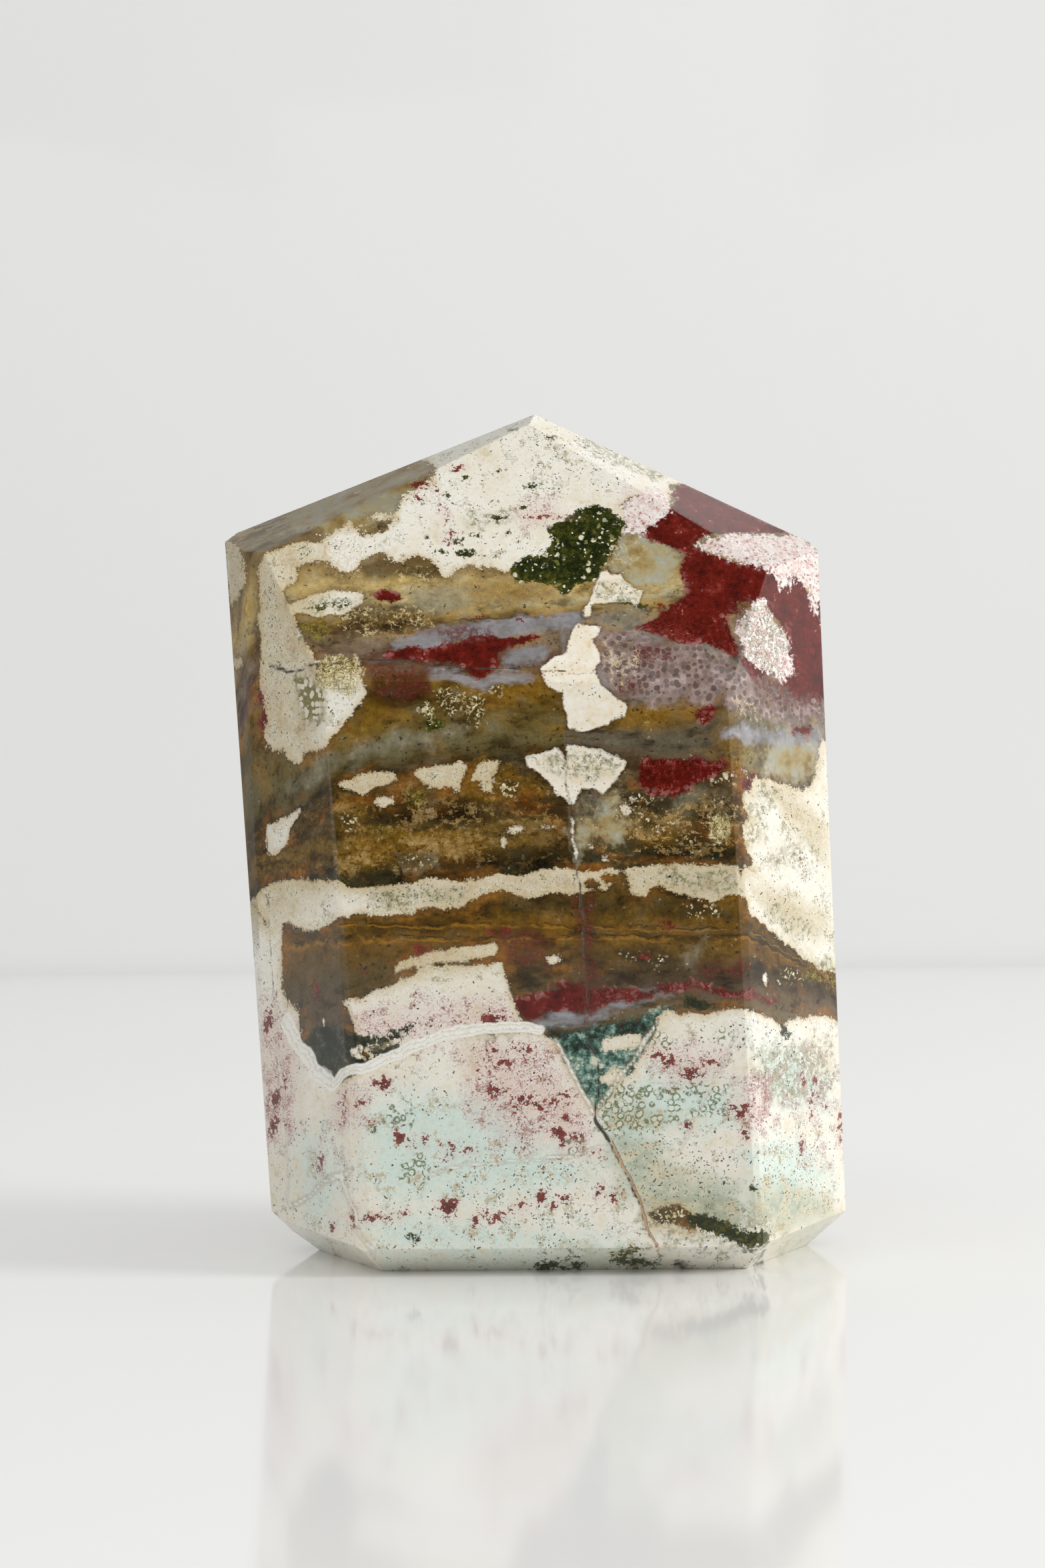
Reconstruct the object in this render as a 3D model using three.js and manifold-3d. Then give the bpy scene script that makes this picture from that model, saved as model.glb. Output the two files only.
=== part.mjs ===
// A polished jasper tower: one stone, ground from a rough block to a six-sided column with a low point.
// Millimetres, +Z up, front face towards -Y, right side towards +X.
import * as THREE from 'three';
import * as BufferGeometryUtils from 'three/addons/utils/BufferGeometryUtils.js';
import Module from 'manifold-3d';

const wasm = await Module();
wasm.setup();
const { Manifold, Mesh } = wasm;

// The rough block, larger all round than the finished stone
const BLANK_WIDTH = 104;
const BLANK_DEPTH = 72;
const BLANK_HEIGHT = 130;

// Height of the point inside the stone that every facet's distance is measured from
const CORE_HEIGHT = 54;

// The grinding wheel's flat, as a cube much larger than the stone
const WHEEL = 240;

// Every facet is a flat. turn: degrees round the stone from the front, towards +X.
// tip: degrees that it looks up. out: its distance from the core point, in mm.
const SIDES = [
  { name: 'front', turn: -0.8, tip: -0.5, out: 24.57 },
  { name: 'front left', turn: -59.9, tip: -3.1, out: 33.2 },
  { name: 'far left', turn: -71.9, tip: -2.6, out: 35.44 },
  { name: 'back left', turn: -121.4, tip: -5.1, out: 32.68 },
  { name: 'back', turn: 179.0, tip: 0.8, out: 24.06 },
  { name: 'back right', turn: 119.0, tip: 1.3, out: 33.32 },
  { name: 'front right', turn: 60.3, tip: 1.8, out: 34.34 },
];

// Narrow strips that take the sharpness off the front edges
const STRIPS = [
  { name: 'left edge strip', turn: -22.0, tip: -2.1, out: 31.45 },
  { name: 'right edge strip', turn: 23.3, tip: 0.6, out: 32.59 },
  { name: 'right shoulder strip', turn: 51.8, tip: 9.2, out: 37.15 },
];

// The facets that meet at the point
const POINT = [
  { name: 'front', turn: -0.2, tip: 36.1, out: 30.89 },
  { name: 'left', turn: -46.8, tip: 61.8, out: 47.0 },
  { name: 'right', turn: 40.2, tip: 56.3, out: 44.33 },
  { name: 'back left', turn: -140.0, tip: 59.5, out: 49.77 },
  { name: 'back right', turn: 140.0, tip: 47.5, out: 44.18 },
  { name: 'back', turn: -179.0, tip: 41.0, out: 40.84 },
];

// Bevels round the foot
const FOOT = [
  { name: 'front', turn: -0.8, tip: -57.1, out: 55.46 },
  { name: 'front left', turn: -61.5, tip: -50.7, out: 58.05 },
  { name: 'far left', turn: -74.0, tip: -45.0, out: 58.29 },
  { name: 'back left', turn: -119.0, tip: -50.0, out: 56.62 },
  { name: 'back', turn: 180.0, tip: -52.0, out: 53.86 },
  { name: 'back right', turn: 119.0, tip: -48.0, out: 60.2 },
  { name: 'front right', turn: 62.0, tip: -45.5, out: 60.85 },
];

// The flat that the stone rests on
const BASE = { name: 'base', turn: 0, tip: -90, out: CORE_HEIGHT };

// Flats only, each with its own normal, so every facet reads as one plane
const STONE_COLOUR = 0xb3a582;
const STONE_ROUGHNESS = 0.12;

function toManifold(geometry) {
  const bare = geometry.clone();
  bare.deleteAttribute('normal');
  bare.deleteAttribute('uv');
  const merged = BufferGeometryUtils.mergeVertices(bare, 1e-5);
  const vertProperties = new Float32Array(merged.attributes.position.array);
  const triVerts = new Uint32Array(merged.index.array);
  return new Manifold(new Mesh({ numProp: 3, vertProperties, triVerts }));
}

function toGeometry(solid) {
  const mesh = solid.getMesh();
  const indexed = new THREE.BufferGeometry();
  indexed.setAttribute('position', new THREE.BufferAttribute(new Float32Array(mesh.vertProperties), 3));
  indexed.setIndex(new THREE.BufferAttribute(new Uint32Array(mesh.triVerts), 1));
  const flat = indexed.toNonIndexed();
  flat.computeVertexNormals();
  return flat;
}

// What the wheel takes off for one facet: everything beyond the facet's plane
function groundOff(facet) {
  const waste = new THREE.BoxGeometry(WHEEL, WHEEL, WHEEL);
  waste.translate(0, -(facet.out + WHEEL / 2), 0);
  waste.rotateX(-THREE.MathUtils.degToRad(facet.tip));
  waste.rotateZ(THREE.MathUtils.degToRad(facet.turn));
  waste.translate(0, 0, CORE_HEIGHT);
  return toManifold(waste);
}

const blank = new THREE.BoxGeometry(BLANK_WIDTH, BLANK_DEPTH, BLANK_HEIGHT);
blank.translate(0, 0, CORE_HEIGHT);

let stone = toManifold(blank);
for (const facet of [...SIDES, ...STRIPS, ...POINT, ...FOOT, BASE]) {
  stone = stone.subtract(groundOff(facet));
}

// The origin is the middle of the footprint's box, on the resting plane
const stoneGeometry = toGeometry(stone);
stoneGeometry.computeBoundingBox();
const box = stoneGeometry.boundingBox;
stoneGeometry.translate(
  -(box.min.x + box.max.x) / 2,
  -(box.min.y + box.max.y) / 2,
  -box.min.z,
);

const jasper = new THREE.MeshStandardMaterial({
  color: STONE_COLOUR,
  roughness: STONE_ROUGHNESS,
  metalness: 0,
});

const tower = new THREE.Mesh(stoneGeometry, jasper);
tower.name = 'jasper_tower';

const group = new THREE.Group();
group.name = 'unicorn_jasper_tower';
group.add(tower);

export default group;
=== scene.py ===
# %% [markdown]
# A polished jasper tower, dressed for the camera.
# The solid comes from the CAD frame: a stone ground to flat facets. Here it gets softened edges,
# a fine mesh, the broken and healed layers of the stone, and a photographer's light.

import math

import bmesh
import bpy
import numpy as np
from mathutils import Matrix, Vector, noise


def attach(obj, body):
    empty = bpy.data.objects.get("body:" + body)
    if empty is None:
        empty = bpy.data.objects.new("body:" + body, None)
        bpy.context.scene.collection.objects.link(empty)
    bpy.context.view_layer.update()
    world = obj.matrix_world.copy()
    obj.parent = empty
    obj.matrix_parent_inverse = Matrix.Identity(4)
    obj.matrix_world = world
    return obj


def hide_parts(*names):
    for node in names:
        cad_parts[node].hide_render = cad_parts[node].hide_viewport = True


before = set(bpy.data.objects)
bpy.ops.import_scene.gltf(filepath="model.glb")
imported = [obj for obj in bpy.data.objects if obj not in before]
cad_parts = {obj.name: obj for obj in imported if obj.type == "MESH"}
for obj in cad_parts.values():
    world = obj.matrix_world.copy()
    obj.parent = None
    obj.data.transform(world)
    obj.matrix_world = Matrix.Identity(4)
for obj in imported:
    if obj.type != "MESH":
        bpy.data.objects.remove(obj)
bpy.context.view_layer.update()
MM = 0.001

# %% [markdown]
# The camera. A camera can be placed by eye, but here it is worked out, because the photograph also
# places the pattern on the stone. The stone and its reflection in the glossy floor give the camera's
# height; the leaning of upright lines gives its small roll, and the horizon its small upward pitch.

# %% Camera
PHOTO_WIDTH = 1568
PHOTO_HEIGHT = 2352
FOCAL_PIXELS = 4000.0
SENSOR_MM = 36.0
CAMERA_PLACE = Vector((-1.22, -349.26, 56.3))
HORIZON_BELOW_MIDDLE = 46.5
PITCH_UP = math.atan(HORIZON_BELOW_MIDDLE / FOCAL_PIXELS)
ROLL = 0.00934
NEAREST, FARTHEST = 0.01, 20

forward = Vector((0, math.cos(PITCH_UP), math.sin(PITCH_UP)))
level_up = Vector((0, -math.sin(PITCH_UP), math.cos(PITCH_UP)))
level_right = Vector((1, 0, 0))
right = math.cos(ROLL) * level_right - math.sin(ROLL) * level_up
up = math.sin(ROLL) * level_right + math.cos(ROLL) * level_up

camera_data = bpy.data.cameras.new("photo camera")
camera_data.sensor_width = SENSOR_MM
camera_data.lens = FOCAL_PIXELS * SENSOR_MM / PHOTO_HEIGHT
camera_data.clip_start = NEAREST
camera_data.clip_end = FARTHEST
camera = bpy.data.objects.new("photo camera", camera_data)
bpy.context.scene.collection.objects.link(camera)
turned = Matrix((right, up, -forward)).transposed().to_4x4()
camera.matrix_world = Matrix.Translation(CAMERA_PLACE * MM) @ turned
bpy.context.scene.camera = camera
print("lens, mm:", round(camera_data.lens, 2))

# %% [markdown]
# The studio. The stone stands on a pale glossy sheet that curves up behind it, so there is no hard
# horizon. One soft lamp stands low on the right, and the pale surroundings fill the shaded side: on
# a polished stone they also give the milky veil on every face that is seen at a grazing angle.

# %% Floor and backdrop
FLOOR_FRONT = -0.9
FLOOR_BACK = 0.62
SWEEP_RADIUS = 0.5
BACKDROP_TOP = 2.4
STAGE_HALF_WIDTH = 2.2
SWEEP_STEPS = 24

sweep = bmesh.new()
near = sweep.verts.new((-STAGE_HALF_WIDTH, FLOOR_FRONT, 0))
far = sweep.verts.new((-STAGE_HALF_WIDTH, FLOOR_BACK, 0))
sweep.edges.new((near, far))
bmesh.ops.spin(
    sweep, geom=[far], cent=(0, FLOOR_BACK, SWEEP_RADIUS), axis=(1, 0, 0),
    angle=math.radians(90), steps=SWEEP_STEPS, use_duplicate=False,
)
sweep.verts.ensure_lookup_table()
curve_end = max(sweep.verts, key=lambda v: v.co.z)
top = bmesh.ops.extrude_vert_indiv(sweep, verts=[curve_end])["verts"][0]
top.co.z = BACKDROP_TOP
grown = bmesh.ops.extrude_edge_only(sweep, edges=sweep.edges[:])["geom"]
bmesh.ops.translate(
    sweep, verts=[g for g in grown if isinstance(g, bmesh.types.BMVert)],
    vec=(2 * STAGE_HALF_WIDTH, 0, 0),
)
bmesh.ops.recalc_face_normals(sweep, faces=sweep.faces[:])
for face in sweep.faces:
    face.smooth = True
floor_mesh = bpy.data.meshes.new("studio sweep")
sweep.to_mesh(floor_mesh)
sweep.free()
floor = bpy.data.objects.new("studio_sweep", floor_mesh)
bpy.context.scene.collection.objects.link(floor)
print("sweep faces:", len(floor_mesh.polygons))

# %% [markdown]
# The light. The photograph has one soft lamp low on the right and a weak one that opens up the left.
# A dark room with large lamps would give the same shading, but not the pale veil on the slanting
# faces. So the room itself is pale, and matt cards stand for the dark and grey things that the stone
# mirrors as well. Only the polish sees them, so they cast no shadow and light nothing.

# %% Lamps
LAMP_AIM = (0, 0, 0.05)
# Place and size in metres, watts, colour
LAMPS = {
    "key": ((0.95, -0.22, 0.42), (0.3, 0.3), 6.7, (1.0, 0.995, 0.985)),
    "fill": ((-0.95, -0.95, 0.75), (0.9, 0.7), 1.55, (1.0, 0.995, 0.99)),
}


def soft_lamp(name, place, size, watts, colour):
    lamp = bpy.data.lights.new(name, "AREA")
    lamp.shape = "RECTANGLE"
    lamp.size, lamp.size_y = size
    lamp.energy = watts
    lamp.color = colour
    holder = bpy.data.objects.new(name, lamp)
    bpy.context.scene.collection.objects.link(holder)
    holder.location = place
    aim = Vector(LAMP_AIM) - Vector(place)
    holder.rotation_mode = "QUATERNION"
    holder.rotation_quaternion = aim.to_track_quat("-Z", "Y")


for name, settings in LAMPS.items():
    soft_lamp(name, *settings)
print("lamps:", len(LAMPS))

# %% Cards and room
# Shade from 0 to 255, and corners in metres. The black ones give depth to the faces in front. The grey
# ones keep the left flank, the point's left facet and the right flank from whitening out.
CARDS = {
    "black_card_in_front": (20, [
        (-0.34, -0.62, 0.002), (0.34, -0.62, 0.002), (0.34, -0.62, 0.5), (-0.34, -0.62, 0.5),
    ]),
    "black_card_overhead": (60, [
        (-0.3, -0.5, 0.75), (0.3, -0.5, 0.75), (0.3, 0.05, 0.75), (-0.3, 0.05, 0.75),
    ]),
    "grey_card": (104, [
        (-0.62, 0.3, 0.002), (-0.2, 0.5, 0.002), (-0.2, 0.5, 0.85), (-0.62, 0.3, 0.85),
    ]),
    "grey_card_for_the_point": (140, [
        (-0.26, 0.51, 0.28), (0.02, 0.51, 0.28), (0.02, 0.51, 0.75), (-0.26, 0.51, 0.75),
    ]),
    "grey_card_at_right": (175, [
        (0.24, 0.5, 0.002), (0.8, 0.2, 0.002), (0.8, 0.2, 0.85), (0.24, 0.5, 0.85),
    ]),
}
ROOM_COLOUR = (0.95, 0.95, 0.945, 1)
ROOM_STRENGTH = 0.8


def card(name, corners):
    mesh = bpy.data.meshes.new(name)
    mesh.from_pydata(corners, [], [(0, 1, 2, 3)])
    holder = bpy.data.objects.new(name, mesh)
    bpy.context.scene.collection.objects.link(holder)
    holder.visible_camera = holder.visible_diffuse = holder.visible_shadow = False
    return mesh


card_meshes = [(card(name, corners), shade) for name, (shade, corners) in CARDS.items()]
world = bpy.data.worlds.new("pale studio")
bpy.context.scene.world = world
world.use_nodes = True
surroundings = world.node_tree.nodes["Background"]
surroundings.inputs["Color"].default_value = ROOM_COLOUR
surroundings.inputs["Strength"].default_value = ROOM_STRENGTH
bpy.context.scene.view_settings.view_transform = "Standard"
print("cards:", len(card_meshes))

# %% [markdown]
# Shader maths. Wiring dozens of Math nodes by hand is slow to read, so one small class wraps an
# output socket and lets Python's own operators add the nodes.

# %% A wire that does arithmetic
# Where nearly all of a noise node's values lie
NOISE_LOW, NOISE_HIGH = 0.28, 0.72


class Wire:
    """An output socket; an expression on it adds Math nodes to its tree."""

    def __init__(self, shop, socket):
        self.shop = shop
        self.socket = socket

    def math(self, operation, first, second=None):
        sockets = {0: first} if second is None else {0: first, 1: second}
        return self.shop.add("ShaderNodeMath", {"operation": operation}, sockets)

    def __add__(self, other):
        return self.math("ADD", self, other)

    def __radd__(self, other):
        return self.math("ADD", other, self)

    def __sub__(self, other):
        return self.math("SUBTRACT", self, other)

    def __rsub__(self, other):
        return self.math("SUBTRACT", other, self)

    def __mul__(self, other):
        return self.math("MULTIPLY", self, other)

    def __rmul__(self, other):
        return self.math("MULTIPLY", other, self)

    def __abs__(self):
        return self.math("ABSOLUTE", self)

    def least(self, other):
        return self.math("MINIMUM", self, other)

    def most(self, other):
        return self.math("MAXIMUM", self, other)

    def beside(self, index):
        """Another output of the same node."""
        return Wire(self.shop, self.socket.node.outputs[index])

    def between(self, low, high, out_low=0.0, out_high=1.0):
        """0 at low, 1 at high, held flat beyond them."""
        return self.shop.add(
            "ShaderNodeMapRange", {"clamp": True},
            {"Value": self, "From Min": low, "From Max": high, "To Min": out_low, "To Max": out_high},
        )


class Shop:
    """Makes nodes in one material's tree."""

    def __init__(self, material):
        material.use_nodes = True
        self.tree = material.node_tree
        self.tree.nodes.clear()

    def add(self, kind, settings=None, sockets=None, out=0):
        node = self.tree.nodes.new(kind)
        for key, value in (settings or {}).items():
            setattr(node, key, value)
        for key, value in (sockets or {}).items():
            if isinstance(value, Wire):
                self.tree.links.new(value.socket, node.inputs[key])
            else:
                node.inputs[key].default_value = value
        return Wire(self, node.outputs[out]) if node.outputs else None

    def ramp(self, value, stops):
        """A colour for each value: stops is a list of (value, colour)."""
        low, high = stops[0][0], stops[-1][0]
        node = self.tree.nodes.new("ShaderNodeValToRGB")
        band = node.color_ramp.elements
        band[0].position, band[0].color = 0.0, stops[0][1]
        band[1].position, band[1].color = 1.0, stops[-1][1]
        for at, colour in stops[1:-1]:
            band.new((at - low) / (high - low)).color = colour
        self.tree.links.new(value.between(low, high).socket, node.inputs[0])
        return Wire(self, node.outputs[0])

    def blend(self, amount, under, over, style="MIX"):
        """Colour under, covered by colour over where amount is 1."""
        return self.add(
            "ShaderNodeMix", {"data_type": "RGBA", "blend_type": style},
            {0: amount, 6: under, 7: over}, out=2,
        )

    def scaled(self, vector, factor):
        """A vector or colour times a number."""
        return self.add("ShaderNodeVectorMath", {"operation": "SCALE"}, {0: vector, "Scale": factor})

    def field(self, name):
        """The three numbers of a field stored on the mesh's points."""
        return self.parts(self.add("ShaderNodeAttribute", {"attribute_name": name}, out=1))

    def cloud(self, place, per_mm, detail=2.0, rough=0.5):
        """A soft noise with per_mm grains a millimetre, from -1 to 1."""
        noise_value = self.add(
            "ShaderNodeTexNoise", {"noise_dimensions": "3D"},
            {"Vector": place, "Scale": per_mm, "Detail": detail, "Roughness": rough},
        )
        return noise_value.between(NOISE_LOW, NOISE_HIGH, -1, 1)

    def parts(self, vector):
        node = self.tree.nodes.new("ShaderNodeSeparateXYZ")
        self.tree.links.new(vector.socket, node.inputs[0])
        return [Wire(self, output) for output in node.outputs]


# %% Colours as a screen shows them
BRIGHTEST = 0.93


def linear(value):
    """A screen's 0 to 255 as the share of light that comes back, kept below pure white."""
    value = value / 255
    value = value / 12.92 if value <= 0.04045 else ((value + 0.055) / 1.055) ** 2.4
    return min(value, BRIGHTEST)


def paint(red, green, blue):
    """A colour for a shader, from three screen values."""
    return (linear(red), linear(green), linear(blue), 1.0)


print("mid grey in the shader:", round(linear(128), 3))

# %% [markdown]
# The sheet. It mirrors the stone softly and close to its foot only, like glossy plastic or coated
# card. Clear glass would show the image twice, and a mirror would show it too strongly. One plain
# finish gives both the white and the reflection. The cards are matt, as only their shade matters.

# %% Floor and card finishes
SHEET_ROUGHNESS = 0.1
SHEET_IOR = 1.45
FELT_ROUGHNESS = 0.9

floor_finish = bpy.data.materials.new("glossy white sheet")
shop = Shop(floor_finish)
sheet = shop.add(
    "ShaderNodeBsdfPrincipled", None,
    {"Base Color": paint(240, 240, 239), "Roughness": SHEET_ROUGHNESS, "IOR": SHEET_IOR},
)
shop.add("ShaderNodeOutputMaterial", None, {"Surface": sheet})
floor_mesh.materials.append(floor_finish)

for mesh, shade in card_meshes:
    felt = bpy.data.materials.new(mesh.name + " felt")
    shop = Shop(felt)
    matt = shop.add(
        "ShaderNodeBsdfPrincipled", None,
        {"Base Color": paint(shade, shade, shade), "Roughness": FELT_ROUGHNESS},
    )
    shop.add("ShaderNodeOutputMaterial", None, {"Surface": matt})
    mesh.materials.append(felt)
print("finishes made:", 1 + len(card_meshes))

# %% [markdown]
# The stone's mesh. It starts as a merged copy of the CAD solid, whose flat facets are joined back
# into single faces. A real stone has its edges eased by polishing, so each edge gets a narrow
# rounded bevel. Then the faces are sliced into small cells, because the layers are stored as numbers
# on the mesh's points: fine cells on the front, coarser ones at the back.

# %% Merge, join the facets, ease the edges
EASED_EDGE = 0.45
EASING_STEPS = 3
MERGE_WITHIN = 0.002
FLAT_WITHIN = math.radians(0.4)

stone_bm = bmesh.new()
stone_bm.from_mesh(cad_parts["jasper_tower"].data)
bmesh.ops.scale(stone_bm, vec=(1 / MM,) * 3, verts=stone_bm.verts[:])
bmesh.ops.remove_doubles(stone_bm, verts=stone_bm.verts[:], dist=MERGE_WITHIN)
bmesh.ops.dissolve_limit(
    stone_bm, angle_limit=FLAT_WITHIN, verts=stone_bm.verts[:], edges=stone_bm.edges[:],
)
facets = [(np.array(f.normal), float(f.normal @ f.verts[0].co)) for f in stone_bm.faces]
print("facets:", len(facets))
bmesh.ops.bevel(
    stone_bm, geom=stone_bm.edges[:], offset=EASED_EDGE, offset_type="OFFSET", affect="EDGES",
    segments=EASING_STEPS, profile=0.5, material=-1, clamp_overlap=True,
)
print("faces after easing:", len(stone_bm.faces))

# %% Slice into cells
FRONT, FLANK, CROWN, REAR = range(4)
# Limits on a face's normal: squarely to the front, upwards like the point, not down like the bevels
TO_THE_FRONT = -0.75
UPWARDS = 0.5
NOT_DOWN = -0.3
zone_of = stone_bm.faces.layers.int.new("zone")
for face in stone_bm.faces:
    n = face.normal
    if n.y < TO_THE_FRONT:
        face[zone_of] = FRONT
    elif n.z > UPWARDS:
        face[zone_of] = CROWN
    elif n.y < 0 and n.z > NOT_DOWN:
        face[zone_of] = FLANK
    else:
        face[zone_of] = REAR

# Cell size in mm along X, Y and Z; None leaves that way uncut
CELL_SIZES = {
    FRONT: (0.4, None, 0.4),
    FLANK: (None, 0.45, 0.5),
    CROWN: (0.6, None, 0.34),
    REAR: (1.0, 1.0, 0.9),
}
# The first cut lies this part of a cell above the lowest point, so that no cut runs along an edge
FIRST_CUT = 0.37
ON_PLANE = 1e-5


def slice_zone(bm, zone, axis, pitch):
    """Cut a zone's faces by planes pitch apart, sweeping upwards along the axis."""
    waiting = [f for f in bm.faces if f[zone_of] == zone]
    low = min(v.co[axis] for f in waiting for v in f.verts)
    high = max(v.co[axis] for f in waiting for v in f.verts)
    normal = Vector((0, 0, 0))
    normal[axis] = 1
    place = low + FIRST_CUT * pitch
    while place < high:
        geometry = set(waiting)
        for face in waiting:
            geometry.update(face.edges)
            geometry.update(face.verts)
        cut = bmesh.ops.bisect_plane(
            bm, geom=list(geometry), dist=ON_PLANE, plane_co=normal * place, plane_no=normal,
        )["geom"]
        waiting = [
            g for g in cut
            if isinstance(g, bmesh.types.BMFace) and g.calc_center_median()[axis] > place
        ]
        place += pitch


for zone, pitches in CELL_SIZES.items():
    for axis, pitch in enumerate(pitches):
        if pitch:
            slice_zone(stone_bm, zone, axis, pitch)
for face in stone_bm.faces:
    face.smooth = True
triangles = sum(len(f.verts) - 2 for f in stone_bm.faces)
print("points:", len(stone_bm.verts), "triangles:", triangles)

stone_mesh = bpy.data.meshes.new("jasper stone")
bmesh.ops.scale(stone_bm, vec=(MM,) * 3, verts=stone_bm.verts[:])
stone_bm.to_mesh(stone_mesh)
stone_bm.free()
stone = bpy.data.objects.new("jasper_stone", stone_mesh)
bpy.context.scene.collection.objects.link(stone)

# %% [markdown]
# How the layers are stored. The stone is a stack of healed layers, and the same layers come out on
# every face, so a pattern painted face by face would not join up. Here every point of the stone is
# slid along the dip of the layers to the front face, and lands on one flat chart, measured in the
# photograph's own pixels. A patch drawn once on the chart then runs through the stone like lettering
# through a stick of rock, and comes out on the flanks, the crown and the back.

# %% The chart
# Millimetres, but DRIFT_REACH is in pixels and DRIFT_GRAIN in bends per millimetre
DIP = 0.5
FRONT_Y = -24.6
DRIFT_START = 26.0
DRIFT_FULL = 20.0
DRIFT_REACH = 95.0
DRIFT_GRAIN = 0.045
BACK_REACH = 376.0
# Small wobbles of the chart: bends per millimetre, reach in pixels
WOBBLES = ((0.75, 3.2), (0.28, 4.5))
TINY = 1e-9
# Without a seed Blender's noise starts from the clock, and each run gives slightly different layers
NOISE_SEED = 1796094698
noise.seed_set(NOISE_SEED)

camera_at = np.array(CAMERA_PLACE)
look, across, upward = (np.array(v) for v in (forward, right, up))


def to_pixels(points):
    """Where the camera sees points of the stone, in the photograph's pixels."""
    ray = points - camera_at
    reach = ray @ look
    column = PHOTO_WIDTH / 2 + FOCAL_PIXELS * (ray @ across) / reach
    row = PHOTO_HEIGHT / 2 - FOCAL_PIXELS * (ray @ upward) / reach
    return np.stack([column, row], axis=1)


def drift(points):
    """Deep behind the front the layers wander, so the back isn't a mirror of the front."""
    shift = np.array([noise.noise_vector(Vector(p) * DRIFT_GRAIN)[:2] for p in points])
    depth = points[:, 1] - FRONT_Y
    share = np.clip((depth - DRIFT_START) / DRIFT_FULL, 0, 1)
    return shift * (share * DRIFT_REACH)[:, None]


def to_chart(points):
    """Slide points along the dip to the front face, and give their place in pixels."""
    depth = points[:, 1] - FRONT_Y
    slid = np.stack([points[:, 0], np.full(len(points), FRONT_Y), points[:, 2] + DIP * depth], 1)
    return to_pixels(slid) + drift(points)


def on_stone(pixels):
    """The points of the stone behind pixels of the photograph, or near its outline if they miss."""
    pixels = np.asarray(pixels, float)
    column = (pixels[:, 0] - PHOTO_WIDTH / 2) / FOCAL_PIXELS
    row = (pixels[:, 1] - PHOTO_HEIGHT / 2) / FOCAL_PIXELS
    rays = look + column[:, None] * across - row[:, None] * upward
    entry = np.zeros(len(pixels))
    leaving = np.full(len(pixels), np.inf)
    for normal, offset in facets:
        facing = rays @ normal
        reach = (offset - normal @ camera_at) / np.where(facing == 0, TINY, facing)
        entry = np.where(facing < 0, np.maximum(entry, reach), entry)
        leaving = np.where(facing > 0, np.minimum(leaving, reach), leaving)
    beside = np.minimum((entry + leaving) / 2, BACK_REACH)
    reach = np.where(entry > leaving, beside, entry)
    return camera_at + rays * reach[:, None]


def chart(text):
    """Pairs of photograph pixels, written as 'x,y x,y', carried to the chart."""
    pixels = [tuple(float(number) for number in pair.split(",")) for pair in text.split()]
    return to_chart(on_stone(pixels))


flat = np.zeros(len(stone_mesh.vertices) * 3)
stone_mesh.vertices.foreach_get("co", flat)
points_mm = flat.reshape(-1, 3) / MM
spots = to_chart(points_mm)
for fineness, reach in WOBBLES:
    spots += reach * np.array([noise.noise_vector(Vector(p) * fineness)[:2] for p in points_mm])
column, row = spots.T
print("chart columns", column.min().round(), "to", column.max().round(),
      "rows", row.min().round(), "to", row.max().round())

# %% [markdown]
# From outlines to fields. A patch of colour could be a picture laid on the stone, or a yes or no on
# each point, but at the size of a cell both turn out blurred or jagged. The distance to the patch's
# edge changes slowly from point to point, so the coarse mesh can carry it, and the shader finds the
# sharp edge in it. Distances are in pixels of the chart, and are cut off at REACH.

# %% Fields on the points
REACH = 36.0


def within(corners):
    """How far each point is inside a closed outline, in chart pixels; negative is outside."""
    depth_in = np.full(len(column), -REACH)
    low, high = corners.min(0) - REACH, corners.max(0) + REACH
    near = (column > low[0]) & (column < high[0]) & (row > low[1]) & (row < high[1])
    x, y = column[near], row[near]
    best = np.full(len(x), np.inf)
    inside = np.zeros(len(x), bool)
    for (ax, ay), (bx, by) in zip(corners, np.roll(corners, -1, axis=0)):
        dx, dy = bx - ax, by - ay
        along = np.clip(((x - ax) * dx + (y - ay) * dy) / (dx * dx + dy * dy + TINY), 0, 1)
        best = np.minimum(best, np.hypot(x - ax - along * dx, y - ay - along * dy))
        crosses = (ay > y) != (by > y)
        slope = dx / (dy if abs(dy) > TINY else TINY)
        inside ^= crosses & (x < ax + (y - ay) * slope)
    best = np.minimum(best, REACH)
    depth_in[near] = np.where(inside, best, -best)
    return depth_in


def patches(outlines):
    """One field from several outlines."""
    field = np.full(len(column), -REACH)
    for text in outlines:
        field = np.maximum(field, within(chart(text)))
    return field


def blots(rounds):
    """One field from small ovals, each written as 'x,y,half width,half height'."""
    field = np.full(len(column), -REACH)
    for text in rounds.split():
        x, y, wide, high = (float(number) for number in text.split(","))
        (cx, cy), = chart(f"{x},{y}")
        far = np.hypot((column - cx) / wide, (row - cy) / high)
        field = np.maximum(field, np.maximum((1 - far) * min(wide, high), -REACH))
    return field


def seams(lines):
    """Signed and plain distance to the nearest of several open lines, and that line's width."""
    signed = np.full(len(column), REACH)
    plain = np.full(len(column), REACH)
    width = np.ones(len(column))
    for text, wide in lines:
        path = chart(text)
        for (ax, ay), (bx, by) in zip(path[:-1], path[1:]):
            dx, dy = bx - ax, by - ay
            along = np.clip(((column - ax) * dx + (row - ay) * dy) / (dx * dx + dy * dy), 0, 1)
            away = np.hypot(column - ax - along * dx, row - ay - along * dy)
            side = np.sign((column - ax) * dy - (row - ay) * dx)
            closer = away < plain
            plain[closer] = away[closer]
            signed[closer] = (away * side)[closer]
            width[closer] = wide
    return signed, plain, width


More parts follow.
